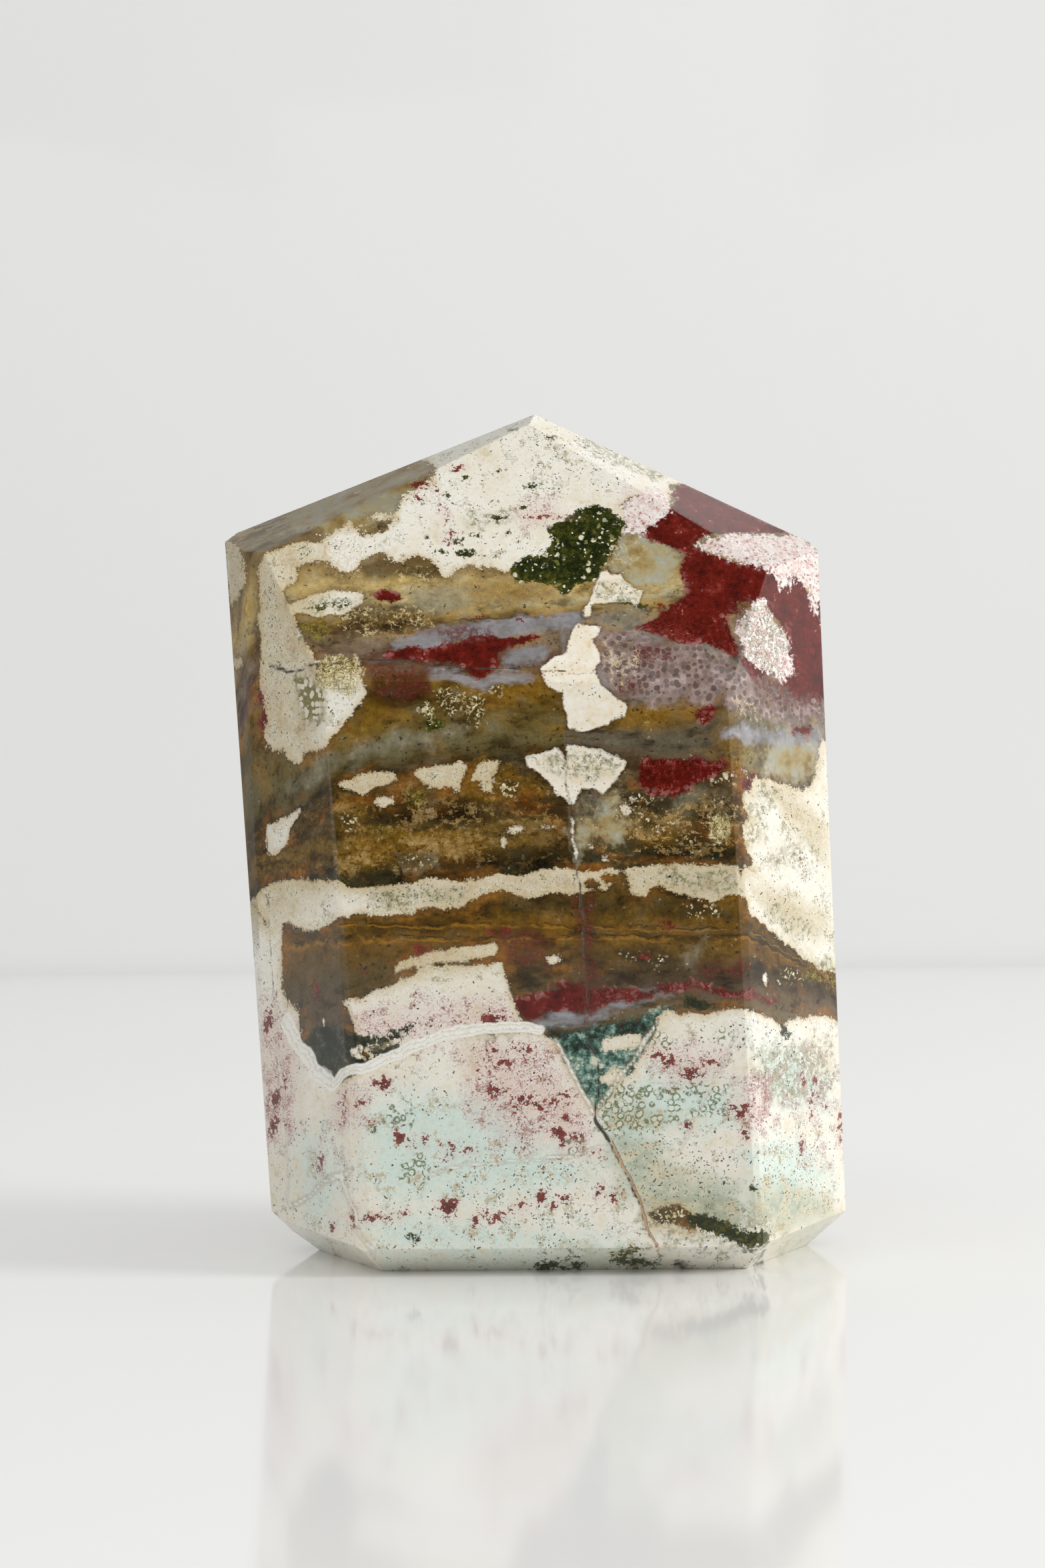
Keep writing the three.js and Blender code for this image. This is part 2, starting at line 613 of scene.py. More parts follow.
def keep_field(name, first, second, third):
    """Store three fields on the points, as one vector."""
    values = np.stack([first, second, third], axis=1).astype(np.float32)
    stone_mesh.attributes.new(name, "FLOAT_VECTOR", "POINT").data.foreach_set("vector", values.ravel())
    print(name, values.min(0).round(1), values.max(0).round(1))


print("fields reach", REACH, "pixels to each side of an edge")


# %% [markdown]
# The horizons. Under the broken patches the stone is banded chalcedony. Its bands are
# followed along a few horizons: each is a line that one band keeps to, with the level that it stands
# for. A point's level between two horizons is read off in proportion, so the bands bend with them.

# %% Horizons
HORIZONS = [
    (600, "330,600 1280,600"),
    (870, "395,880 500,870 700,868 850,872 1000,868 1230,868"),
    (930, "395,960 480,946 560,938 640,934 700,931 780,925 860,921 960,915 1060,905 1130,903"),
    (985, "404,1002 476,999 560,994 612,990 700,1001 850,1006 1000,1004 1110,1012"),
    (1095, "350,1180 430,1152 500,1120 560,1098 650,1092 740,1085 850,1092 940,1090 1040,1092 1180,1085"),
    (1140, "345,1270 430,1222 495,1178 560,1156 640,1142 720,1136 800,1128 850,1120 960,1132 1110,1134"),
    (1250, "380,1300 440,1285 510,1268 560,1258 640,1255 720,1250 830,1250 960,1252 1110,1256"),
    (1312, "385,1340 450,1322 520,1326 600,1324 700,1319 790,1310 866,1302 960,1301 1110,1297 1180,1350"),
    (1346, "380,1400 450,1392 500,1382 560,1373 640,1362 700,1354 790,1346 866,1344 960,1340 1110,1346"),
    (1386, "425,1392 505,1388 560,1387 700,1385 800,1388 876,1389 950,1394 1050,1397 1110,1395 "
           "1200,1440"),
    (1404, "425,1412 505,1406 600,1404 700,1406 850,1405 900,1400 1000,1403 1110,1402 1200,1446"),
    (1450, "440,1490 520,1478 590,1462 640,1450 760,1440 880,1446 1000,1452 1110,1452 1240,1470"),
    (1530, "450,1560 560,1545 700,1538 790,1532 880,1530 985,1522 1110,1514 1250,1530"),
    (1900, "400,1900 1260,1900"),
]

lines = []
for level, text in HORIZONS:
    path = chart(text)
    path = path[np.argsort(path[:, 0])]
    lines.append((level, np.interp(column, path[:, 0], path[:, 1])))
(first_level, first_row), (last_level, last_row) = lines[0], lines[-1]
levels = np.where(row < first_row, first_level + row - first_row, last_level + row - last_row)
for (low_level, low_row), (high_level, high_row) in zip(lines[:-1], lines[1:]):
    share = (row - low_row) / np.maximum(high_row - low_row, 1)
    band = (row >= low_row) & (row < high_row)
    levels[band] = (low_level + share * (high_level - low_level))[band]

FAULT = "840,600 843,1000 850,1118 852,1199 866,1300 876,1400 880,1560"
fault_path = chart(FAULT)
fault_side = column - np.interp(row, fault_path[:, 1], fault_path[:, 0])
fault_side = np.clip(fault_side, -REACH, REACH)
keep_field("ground", levels, fault_side, points_mm[:, 1] - FRONT_Y)

# %% [markdown]
# The broken pieces. The photograph shows angular chips of white and cream stone, healed into place by
# later chalcedony, with red and mossy clouds between them. Each is a closed outline on the chart. It
# is stored as a distance to its edge and not as a mask, because a distance can be frayed by a fine
# noise in the shader, and then a coarse mesh still gives a crisp, natural edge.

# %% Cream and white chips
CREAM = patches([
    # crown
    "560,400 1100,400 960,690 1030,725 1010,728 1005,740 1012,757 975,750 945,745 935,765 945,775 "
    "950,790 938,800 900,835 800,850 760,858 700,850 682,855 672,868 662,865 655,850 645,840 620,835 "
    "600,842 585,845 575,830 560,832 545,845 530,862 515,864 500,855 488,840 486,808 500,798 "
    "525,782 545,800 575,798 592,782 600,752 612,738 650,722 640,690",
    # left edge, from the shoulder down
    "400,830 450,812 490,815 490,840 450,850 445,870 425,885 430,900 447,925 445,945 455,965 468,975 "
    "475,1000 480,1020 497,1015 540,1000 548,1040 535,1060 520,1080 505,1100 490,1118 470,1125 "
    "455,1130 452,1145 440,1148 425,1130 400,1120 397,1105 398,1085 392,1045 390,980 388,850",
    "338,812 345,815 362,830 368,850 366,880 355,900 345,908 341,880",
    "350,985 362,990 365,1000 352,1000",
    "437,905 445,900 470,893 500,885 530,887 545,893 540,905 525,915 510,922 480,925 455,920 440,915",
    # row of chips under the brown band
    "504,1178 512,1172 530,1172 545,1163 570,1158 590,1158 597,1165 585,1175 565,1183 548,1193 "
    "530,1190 512,1185",
    "620,1160 640,1152 670,1147 690,1142 703,1150 697,1165 690,1180 685,1188 675,1180 660,1182 "
    "640,1178 630,1170",
    "708,1172 715,1150 725,1142 750,1143 742,1160 738,1187 725,1185 722,1172",
    "575,1195 590,1193 592,1203 578,1208",
    "400,1232 418,1232 445,1212 455,1215 440,1235 435,1255 428,1270 415,1280 402,1288 398,1260",
    # band across the middle
    "375,1355 385,1340 400,1327 450,1318 500,1322 520,1328 600,1325 640,1318 700,1320 750,1312 "
    "800,1308 850,1302 870,1305 960,1300 1060,1298 1110,1297 1117,1345 1085,1345 1070,1352 "
    "1055,1350 1020,1340 985,1327 975,1335 970,1345 950,1345 945,1330 930,1320 905,1335 890,1332 "
    "875,1342 840,1340 790,1348 755,1335 720,1345 705,1350 697,1360 640,1362 620,1370 560,1372 "
    "520,1375 500,1380 480,1395 465,1398 450,1390 430,1385 420,1392 405,1400",
    # right flank
    "1117,1190 1125,1185 1133,1172 1150,1168 1175,1178 1200,1183 1218,1175 1225,1150 1235,1110 "
    "1260,1100 1300,1300 1255,1455 1230,1455 1215,1445 1205,1440 1195,1425 1180,1415 1160,1400 "
    "1145,1385 1125,1370 1120,1350 1108,1345 1108,1320 1115,1302 1128,1298 1128,1290 1120,1280 "
    "1118,1262 1112,1245 1122,1225 1115,1210",
    # wedge and foot
    "510,1500 545,1498 560,1485 590,1475 625,1465 625,1448 660,1450 720,1448 752,1443 765,1475 "
    "775,1500 788,1540 760,1545 700,1548 650,1560 600,1590 560,1600",
    "330,1345 372,1345 405,1400 423,1385 421,1440 425,1480 432,1500 450,1520 450,1545 455,1565 "
    "465,1590 480,1610 500,1625 520,1622 545,1605 580,1590 620,1575 650,1555 690,1548 740,1545 "
    "808,1550 830,1562 860,1610 893,1665 905,1655 925,1630 950,1600 975,1560 990,1530 1000,1518 "
    "1060,1522 1110,1512 1125,1515 1150,1525 1170,1535 1210,1522 1240,1525 1262,1535 1300,1540 "
    "1300,2000 300,2000 300,1500",
    "640,1428 700,1420 740,1415 748,1425 740,1436 700,1440 655,1446 620,1452 590,1460 585,1452 "
    "610,1440",
    "903,1562 930,1555 966,1551 962,1568 930,1578 904,1577",
    "902,1612 930,1602 936,1620 912,1631 900,1625",
])
LETS_GROUND_THROUGH = patches([
    "972,1822 990,1812 1020,1810 1040,1820 1048,1838 1035,1850 1010,1838 985,1835",
    "877,1322 882,1315 892,1316 903,1330 890,1336 878,1333",
    "903,1316 912,1309 922,1312 930,1304 941,1308 944,1322 926,1321 912,1327",
])
CREAM = np.minimum(CREAM, -LETS_GROUND_THROUGH)
WHITE = patches([
    "868,936 905,941 890,957 889,968 899,984 898,993 887,1008 848,1010 815,1007 812,1002 822,990 "
    "835,983 848,979 858,955",
    "848,1010 890,1010 900,1025 912,1035 925,1050 940,1055 942,1062 938,1072 920,1078 908,1085 "
    "890,1094 870,1095 850,1090 848,1060 846,1040 835,1038 818,1022 815,1012",
    "791,1132 815,1128 835,1122 848,1137 851,1165 851,1198 835,1190 828,1175 815,1165 800,1155 "
    "790,1150",
    "850,1118 862,1122 885,1122 905,1127 925,1134 939,1140 936,1150 922,1165 915,1180 905,1188 "
    "895,1183 875,1184 868,1190 858,1205 853,1200 851,1160",
    "911,852 920,862 935,858 935,870 950,882 968,886 962,900 955,910 945,902 925,905 905,903 "
    "890,905 885,925 876,928 874,922 885,905 895,880 903,860",
    "857.5,1222 860.5,1230 862.5,1250 865,1275 867,1290 863,1285 860,1262 857,1240",
])
PINK_WHITE = patches([
    "940,748 975,736 1012,745 1003,765 978,790 955,802 938,800 932,785 936,765",
    "1047,818 1060,807 1075,803 1100,800 1195,803 1228,825 1232,900 1225,925 1215,900 1208,878 "
    "1190,868 1170,878 1155,858 1130,843 1105,843 1085,835 1065,828",
    "1130,905 1145,900 1150,910 1160,925 1172,945 1182,960 1190,1010 1170,1015 1150,1008 "
    "1135,1000 1120,985 1112,960 1100,948 1110,930 1125,915",
])
WHITE = np.maximum(WHITE, blots(
    "1148,1468,4,8 1168,1475,4,4 541,1570,5,5 546,1588,4,4 538,1583,5,5 532,1576,4,7 559,1552,3,3 "
    "608,1550,4,4 485,1533,2,6"
))
CREAM = np.maximum(CREAM, blots(
    "831,1437,11,7 772,1244,10,5 818,1243,12,4 575,1200,12,8 1118,1160,6,3 757,1262,3,9 "
    "568,776,14,7 531,741,7,4 538,790,9,4 612,704,12,5 470,800,9,4 940,1216,8,9 948,1200,6,5 "
    "908,1289,6,5 889,1272,5,4"
))
keep_field("pale", CREAM, WHITE, PINK_WHITE)

# %% [markdown]
# The coloured clouds. Iron stained some layers red, green minerals grew in others like moss, and near
# the foot one opening was filled with teal. Noise alone could make such clouds, but each stands in a
# place of its own. So they are outlined as well, and noise only frays and mottles them.

# %% Red, moss and teal clouds
RED = patches([
    "955,795 975,770 990,760 1010,762 1030,775 1060,800 1045,818 1085,838 1105,843 1130,845 "
    "1150,858 1157,880 1150,905 1125,905 1110,905 1100,920 1085,925 1095,940 1105,965 1110,985 "
    "1060,965 1020,965 990,955 965,945 955,942 975,930 1000,915 990,910 1010,905 1030,890 1020,870 "
    "1018,850 1030,830 1000,822 975,812",
    "1005,737 1020,727 1037,724 1060,736 1100,756 1150,781 1188,802 1150,799 1100,799 1080,802 "
    "1064,805 1040,790 1010,770 993,761 1012,758 1014,750 1005,743",
    "1157,880 1200,870 1215,905 1225,920 1228,945 1215,950 1200,945 1185,935 1175,945 1160,925 "
    "1150,905",
    "1200,905 1215,880 1245,880 1250,1050 1215,1045 1195,960",
    "1185,965 1215,985 1232,1000 1235,1030 1215,1045 1200,1055 1185,1040 1160,1010 1130,1020 "
    "1115,1000 1112,985",
    "571,985 585,975 610,968 640,972 680,965 710,955 770,955 800,950 815,952 805,962 780,968 "
    "760,975 748,985 740,1000 735,1010 722,1018 705,1015 695,1000 675,997 655,995 640,990 610,992 "
    "590,990",
    "560,890 575,884 600,890 605,897 590,905 570,903",
    "1040,1075 1045,1062 1065,1058 1075,1062 1070,1078 1055,1088",
    "955,1150 965,1138 985,1133 1000,1137 1050,1133 1080,1140 1098,1150 1090,1160 1070,1168 "
    "1045,1172 1030,1190 1010,1198 985,1192 965,1182 952,1170",
    "1110,1175 1118,1165 1130,1162 1138,1172 1130,1190 1120,1195",
    "770,1500 800,1492 830,1480 850,1475 880,1480 930,1485 960,1482 1000,1478 1040,1472 1080,1478 "
    "1110,1485 1140,1492 1165,1500 1150,1505 1120,1500 1090,1495 1040,1482 1010,1490 970,1498 "
    "930,1505 900,1515 850,1515 820,1520 800,1530 788,1532 780,1520",
    "1190,1088 1216,1084 1220,1098 1204,1106 1188,1100",
    "1130,850 1200,865 1222,905 1196,938 1150,908 1128,905",
    "1172,930 1230,930 1236,1012 1190,1004",
])
MOSS = patches([
    "825,785 845,782 865,765 890,757 915,762 925,772 940,785 935,800 925,820 915,835 905,850 "
    "900,868 880,875 862,880 850,893 840,888 835,875 800,870 775,872 768,858 772,845 790,835 "
    "800,838 815,828 828,820 825,800",
    "455,1565 470,1545 490,1535 515,1548 540,1553 580,1553 600,1545 615,1540 628,1535 615,1548 "
    "600,1560 570,1560 555,1565 545,1580 560,1590 548,1602 530,1615 510,1624 495,1620 475,1600 "
    "462,1585",
    "550,1580 590,1570 620,1570 600,1578 570,1585",
    "1030,1818 1070,1822 1095,1836 1115,1846 1140,1844 1152,1850 1150,1864 1125,1872 1105,1864 "
    "1075,1852 1045,1846 1030,1832",
    "800,1900 830,1888 860,1885 875,1893 860,1905 820,1907",
    "915,1890 940,1880 965,1885 990,1895 960,1902 925,1900",
    "1030,1490 1050,1495 1075,1510 1050,1515 1025,1510",
])
MOSS = np.maximum(MOSS, blots(
    "830,655,10,7 797,728,9,8 745,777,14,5 683,813,10,5 700,830,16,8 770,645,6,5 1133,1779,5,8 "
    "1176,1545,6,12 650,1085,14,10 565,1697,6,6 625,1860,10,5 683,705,7,5 701,718,7,4 737,753,7,4 "
    "672,744,6,4 712,802,9,5 748,704,5,6 640,804,5,4 664,826,6,4 728,836,8,4 760,800,6,4 786,762,5,4 "
    "922,884,7,5 940,901,9,6 956,894,6,5 908,878,6,4 962,910,7,4 900,896,5,5 482,912,10,3 512,906,12,3"
))
TEAL = patches([
    "818,1540 850,1545 880,1540 920,1535 940,1528 965,1524 1010,1512 1000,1560 965,1610 940,1645 "
    "905,1690 880,1680 850,1630 820,1575",
])
keep_field("rich", RED, MOSS, TEAL)

# %% [markdown]
# The late fillings. Small hollows were lined with crystals, or filled with grey or bubbled chalcedony.
# They could be cut in as pits, but the polish runs on over them, so they are flush, and drawn like
# the other patches.

# %% Druse, grey chalcedony and bubbled chalcedony
DRUSE = patches([
    "470,990 500,982 540,985 545,1010 538,1035 520,1042 500,1035 478,1030 468,1010",
    "1065,1225 1085,1220 1097,1235 1094,1256 1075,1262 1064,1248",
])
GREY = patches([
    "600,958 640,946 700,938 760,930 830,922 870,920 870,938 820,946 760,955 700,960 650,970 "
    "610,980 585,975",
    "752,990 775,975 812,965 826,972 818,985 795,996 770,1004 755,1002",
    "398,1020 410,1008 424,1010 425,1022 410,1034 400,1032",
    "1092,1100 1112,1092 1150,1094 1180,1102 1220,1090 1240,1102 1225,1122 1180,1114 1120,1116",
    "785,1540 800,1535 830,1520 870,1520 900,1510 940,1490 990,1485 1010,1490 960,1500 930,1515 "
    "900,1530 870,1545 830,1538 800,1550",
    "640,1002 700,1012 760,1008 800,1012 790,1025 740,1030 690,1026 650,1018",
])
BUBBLES = patches([
    "895,955 930,948 960,955 990,965 1030,970 1070,975 1100,990 1110,1010 1150,1030 1200,1050 "
    "1230,1045 1240,1070 1200,1080 1160,1075 1110,1068 1070,1055 1030,1050 990,1055 950,1050 "
    "925,1040 905,1015 895,990",
])
keep_field("dim", DRUSE, GREY, BUBBLES)

# %% [markdown]
# Tints. The cream isn't one colour: from place to place it is bluish, speckled with pink, greenish,
# honeycombed or dull. The shader gives these outlines wide, soft edges, so a tint fades out and shows
# no border of its own.

# %% Soft tints inside the cream
AQUA = patches([
    "545,1655 620,1635 760,1650 800,1700 870,1735 900,1770 800,1790 700,1800 600,1805 545,1770",
    "905,1680 960,1610 1060,1610 1104,1640 1100,1684 1000,1700 966,1760 1000,1800 1090,1776 "
    "1130,1800 1100,1835 1000,1815 930,1780 905,1730",
    "550,1830 640,1822 740,1835 900,1850 950,1885 900,1900 700,1900 575,1895",
    "440,1710 480,1690 510,1760 500,1830 460,1820",
    "1136,1566 1190,1572 1246,1622 1240,1664 1150,1648",
    "1124,1730 1196,1704 1246,1764 1190,1826 1132,1800",
])
SPECKLE = patches([
    "520,1520 640,1502 768,1502 785,1540 640,1562 540,1590 505,1562",
    "690,1560 830,1570 890,1680 870,1730 760,1720 700,1660",
    "980,1568 1080,1570 1080,1622 1000,1625",
    "1105,1620 1150,1610 1150,1690 1120,1700",
    "395,1500 440,1540 450,1700 400,1710",
    "932,745 960,728 1000,745 1006,757 985,770 955,797 942,800 932,785",
    "500,1640 545,1635 548,1690 510,1690",
    "785,760 830,752 840,782 790,790",
])
TAN = patches([
    "470,712 540,682 640,640 655,690 628,735 585,775 540,800 500,806 440,792 430,760",
    "894,1222 915,1212 940,1224 946,1240 930,1260 908,1254 892,1240",
    "862,1236 892,1232 898,1250 882,1266 868,1282 860,1262",
    "902,1186 928,1186 934,1206 908,1212",
    "1146,1106 1180,1100 1232,1120 1222,1168 1176,1176 1150,1156",
    "930,812 965,800 1010,812 1022,850 1000,882 955,880 925,850",
])
keep_field("tint", AQUA, SPECKLE, TAN)

GREENISH = patches([
    "1110,925 1160,915 1186,972 1160,1012 1124,990",
    "1116,1200 1145,1190 1150,1262 1122,1270",
    "1150,1290 1190,1255 1215,1262 1190,1300",
    "800,1138 835,1130 880,1130 930,1140 915,1165 880,1172 850,1165 820,1155",
    "895,872 930,870 965,890 955,905 900,900",
    "445,903 480,898 535,897 520,915 455,916",
    "1120,1185 1150,1180 1165,1190 1160,1205 1130,1200",
    "990,1308 1100,1302 1108,1335 1060,1342 1000,1325",
    "560,1335 700,1330 700,1352 560,1362",
    "955,1798 1060,1794 1160,1826 1176,1880 1100,1888 960,1852",
    "1120,1600 1160,1560 1250,1560 1250,1640 1160,1660",
    "728,770 770,766 765,784 728,787",
    "690,775 716,770 722,790 700,796",
    "1140,1350 1190,1370 1230,1400 1190,1410 1150,1375",
    "880,640 960,690 1000,712 985,722 930,700 870,665",
])
RINGS = patches([
    "505,925 560,905 650,912 650,940 560,952 515,952",
    "650,1035 692,1030 702,1060 660,1064",
    "695,1050 725,1042 728,1085 700,1090",
    "478,812 540,806 550,835 540,862 510,868 488,850",
    "590,856 640,852 648,870 600,876",
    "915,820 955,812 978,830 940,848 918,842",
    "630,1060 650,1055 652,1080 632,1078",
    "900,955 950,965 960,1010 925,1035 900,1000",
    "1100,1045 1140,1055 1140,1085 1105,1070",
])
DULL = patches([
    "340,820 470,806 492,850 492,1000 474,1124 430,1148 395,1112 340,1000",
    "1122,1325 1140,1318 1170,1330 1200,1350 1240,1372 1242,1402 1215,1402 1180,1388 1150,1372",
    "1150,1175 1200,1195 1238,1240 1238,1292 1205,1262 1172,1222",
    "370,1320 620,1320 620,1375 380,1405",
    "620,1315 1115,1290 1115,1350 620,1370",
    "500,1430 760,1410 750,1445 500,1500",
    "500,1150 760,1135 760,1190 500,1200",
    "340,740 560,735 560,800 340,830",
])
keep_field("extra", GREENISH, RINGS, DULL)

# %% [markdown]
# Spots. Dark red spots lie in the foot, a few inside cells with a green rim. A random scatter would
# take fewer lines, but the large ones are known by their places, so each has its own oval. Only the
# dust between them is left to noise.

# %% Small spots and green-rimmed cells
MAROON = blots(
    "740,1528,18,8 735,1580,8,6 757,1592,14,5 785,1575,10,6 715,1598,5,5 745,1638,12,8 "
    "785,1648,12,7 575,1625,14,9 600,1705,8,8 618,1715,4,6 637,1713,4,7 675,1720,8,5 672,1732,4,5 "
    "705,1724,6,3 672,1811,14,12 555,1825,9,4 580,1823,14,5 608,1822,6,5 527,1828,4,8 545,1828,4,3 "
    "500,1838,6,6 715,1832,5,6 742,1824,16,4 782,1812,8,4 812,1794,8,8 830,1808,6,5 845,1798,8,5 "
    "850,1680,10,5 840,1700,10,10 845,1715,5,10 803,1655,8,8 775,1665,8,3 815,1663,9,5 845,1645,6,5 "
    "900,1732,8,5 902,1789,6,7 920,1791,5,7 835,1655,9,5 867,1700,6,5 985,1580,12,6 1002,1592,10,8 "
    "1040,1612,14,9 1065,1595,8,4 1110,1660,14,6 1108,1670,8,5 1117,1702,4,6 1030,1690,8,6 "
    "687,703,9,6 412,1650,12,14 412,1688,10,12 402,1535,10,18 425,1625,5,10 480,1740,3,12 "
    "628,726,18,9 664,764,5,5 674,772,4,6 668,784,5,3 675,801,7,3 669,812,4,3 655,735,3,3 661,756,4,3 "
    "625,748,6,5 815,775,18,4 475,1485,7,11 1262,1690,5,20 "
    "1217,1660,4,14 1230,1650,10,3 1203,1722,4,12 1225,1622,4,6 1205,1615,5,7 394,1080,7,16 "
    "392,1048,6,10 630,1425,10,5 545,1455,8,5 1003,1385,10,6 757,1397,8,4 741,1396,7,3 720,926,8,5 "
    "780,931,6,3 970,1433,8,5 1110,1450,8,3 515,1660,4,12 540,1655,6,3"
)
CELLS = patches([
    "893,1700 903,1646 925,1628 960,1622 1000,1632 1040,1622 1090,1626 1086,1668 1020,1684 "
    "990,1682 950,1698 920,1708",
    "975,1550 995,1540 1020,1570 1000,1580 980,1565",
    "1072,1545 1102,1540 1104,1562 1078,1564",
    "580,1655 620,1652 622,1688 584,1690",
    "598,1735 640,1732 642,1766 600,1768",
    "835,1708 866,1708 866,1734 838,1736",
])
FLECKS = patches([
    "540,915 640,912 650,945 560,955 535,935",
    "850,1205 940,1200 1040,1205 1110,1200 1108,1280 980,1285 880,1275",
    "505,1215 600,1205 700,1200 850,1215 850,1245 700,1290 560,1310 505,1315",
])
keep_field("spots", MAROON, CELLS, FLECKS)

# %% [markdown]
# Light and dark in the ground. The bands glow amber where they are clear, are milky where they are
# dense, and sink to brown where they are deep. Light could be followed into the stone, but jasper is
# almost opaque, so here colour alone carries the depth.

# %% Warm, milky and dark zones of the ground
GLOW = patches([
    "548,1058 566,1050 590,1062 580,1090 548,1114 520,1128 497,1130 515,1106 532,1084",
    "700,1012 760,1006 836,1006 840,1030 800,1050 740,1052 700,1040",
    "690,1155 720,1138 745,1146 800,1168 806,1190 740,1202 692,1198",
    "500,1188 545,1196 562,1212 545,1240 520,1256 503,1252",
    "520,1250 620,1244 723,1248 723,1290 640,1280 560,1300 512,1296",
    "510,1376 640,1372 858,1368 858,1400 700,1402 510,1404",
    "890,1368 960,1362 1060,1372 1104,1385 1108,1440 1050,1446 980,1416 890,1424",
    "937,1246 975,1240 1016,1246 1014,1268 960,1270",
    "1066,1350 1090,1342 1116,1346 1150,1378 1140,1392 1110,1378 1075,1374",
    "1076,1236 1104,1236 1110,1256 1090,1268",
    "905,1040 960,1056 1000,1062 1004,1086 960,1094 915,1080",
    "1090,1116 1124,1108 1150,1112 1152,1150 1126,1166 1100,1152",
    "700,876 790,870 836,880 836,900 760,906 700,900",
])
MILKY = patches([
    "610,886 660,876 706,884 704,910 660,922 615,914",
    "600,1284 650,1280 656,1302 612,1304",
    "858,1190 884,1186 900,1214 898,1262 872,1272 860,1240",
    "900,1212 938,1208 940,1258 905,1266",
    "1012,1184 1058,1184 1056,1214 1016,1212",
    "1030,1450 1036,1424 1056,1402 1062,1404 1050,1430 1036,1454",
    "1000,806 1028,800 1034,830 1014,852 990,846",
    "905,912 962,908 962,940 915,944",
    "1112,1064 1160,1068 1234,1090 1236,1112 1170,1104 1116,1090",
    "1120,1120 1180,1118 1190,1150 1150,1166 1118,1150",
    "430,1180 470,1150 520,1120 600,1100 700,1094 700,1112 600,1124 520,1150 460,1190",
    "560,1500 600,1478 640,1466 700,1462 700,1450 640,1452 590,1466",
])
SHADOWED = patches([
    "540,846 580,834 640,834 672,850 660,866 600,862 550,866",
    "516,910 560,904 630,908 630,942 560,948 520,940",
    "548,1012 600,1010 645,1020 640,1056 600,1066 552,1050",
    "690,1284 760,1280 860,1272 862,1304 760,1306 690,1310",
    "545,1190 600,1190 636,1206 620,1240 570,1236 548,1216",
    "636,1204 700,1196 724,1206 720,1244 660,1242 634,1230",
    "1046,1206 1064,1200 1070,1222 1060,1262 1044,1264",
    "1092,1204 1110,1200 1118,1224 1112,1242 1098,1240",
    "822,1196 850,1190 862,1240 864,1300 830,1302 822,1240",
    "560,1386 700,1380 700,1388 560,1394",
    "900,1200 960,1196 1000,1204 990,1222 930,1224 902,1214",
    "960,1270 1040,1262 1108,1270 1110,1292 1040,1296 960,1296",
    "540,1550 590,1552 620,1568 600,1590 550,1596",
    "1122,1458 1144,1456 1146,1478 1126,1480",
    "1010,900 1060,900 1110,908 1110,920 1060,914 1010,910",
    "1046,1156 1066,1150 1072,1168 1050,1176",
    "868,1030 900,1034 905,1046 880,1044",
])
keep_field("glow", GLOW, MILKY, SHADOWED)

# %% [markdown]
# Minerals at the borders. Where ground meets chip there are beads of crystal, a red haze or an olive
# dust. Each gets an outline that says where it is thick, and noise makes the beads and the dust.

# %% Beaded crystals, red haze and olive dust
KNOTS = patches([
    "650,1040 668,1034 694,1042 696,1062 676,1068 655,1060",
    "626,1058 640,1052 652,1062 646,1076 630,1074",
    "694,1052 706,1044 726,1050 726,1078 712,1090 698,1080",
    "726,1026 742,1022 756,1034 750,1046 732,1042",
    "512,1222 524,1218 536,1226 532,1244 518,1246",
    "748,1174 762,1168 778,1176 778,1194 760,1198 750,1190",
    "604,1286 630,1280 652,1288 646,1302 612,1304",
    "914,1212 940,1204 952,1216 940,1230 920,1228",
    "960,1228 985,1226 992,1244 974,1252 960,1244",
    "1014,1250 1040,1250 1044,1264 1020,1268",
    "930,1428 955,1424 958,1438 934,1442",
    "974,1434 998,1434 998,1444 976,1446",
    "968,1146 984,1146 988,1160 972,1162",
    "1030,1356 1050,1352 1084,1364 1080,1374 1050,1374 1034,1370",
    "944,1196 975,1190 985,1200 962,1208",
    "500,912 530,904 545,918 525,928 505,924",
    "1040,1154 1100,1160 1108,1172 1060,1176",
    "1170,1455 1195,1452 1205,1470 1180,1476",
    "975,1816 1040,1810 1048,1844 990,1842",
])
HAZE = patches([
    "551,1000 600,996 646,1002 640,1040 600,1052 556,1040",
    "948,968 1000,966 1008,990 960,998",
    "1040,1446 1112,1444 1114,1462 1050,1462",
    "745,1398 790,1394 824,1408 820,1446 770,1446 752,1430",
    "868,1340 884,1345 892,1420 894,1500 888,1545 874,1545 873,1450 869,1380",
    "1096,900 1130,900 1130,960 1112,972 1100,940",
    "640,946 700,940 740,944 740,960 680,966",
    "1140,1000 1200,1040 1232,1040 1230,1060 1180,1060 1130,1030",
    "925,1026 955,1020 960,1040 930,1046",
    "885,1170 905,1170 905,1190 885,1190",
])
OLIVE = patches([
    "444,1018 462,1010 474,1018 484,1032 491,1078 470,1084 456,1080 446,1050",
    "446,934 480,930 492,946 480,962 450,960",
    "545,1010 586,1010 600,1026 560,1034",
    "612,1186 634,1184 634,1212 612,1212",
    "562,1242 582,1240 584,1254 564,1254",
    "1210,1440 1250,1446 1254,1480 1215,1478",
    "1092,1140 1130,1120 1136,1150 1100,1160",
    "540,1556 590,1552 600,1570 560,1580",
    "955,782 985,790 1010,812 1000,830 965,812",
    "700,1540 780,1546 770,1556 700,1552",
])
keep_field("knots", KNOTS, HAZE, OLIVE)

# %% [markdown]
# The foot. Its cream is murky in one place, peppered in the next, and netted with wine-red veins on
# the flanks. One texture for the whole foot would miss that, so there are three outlines.

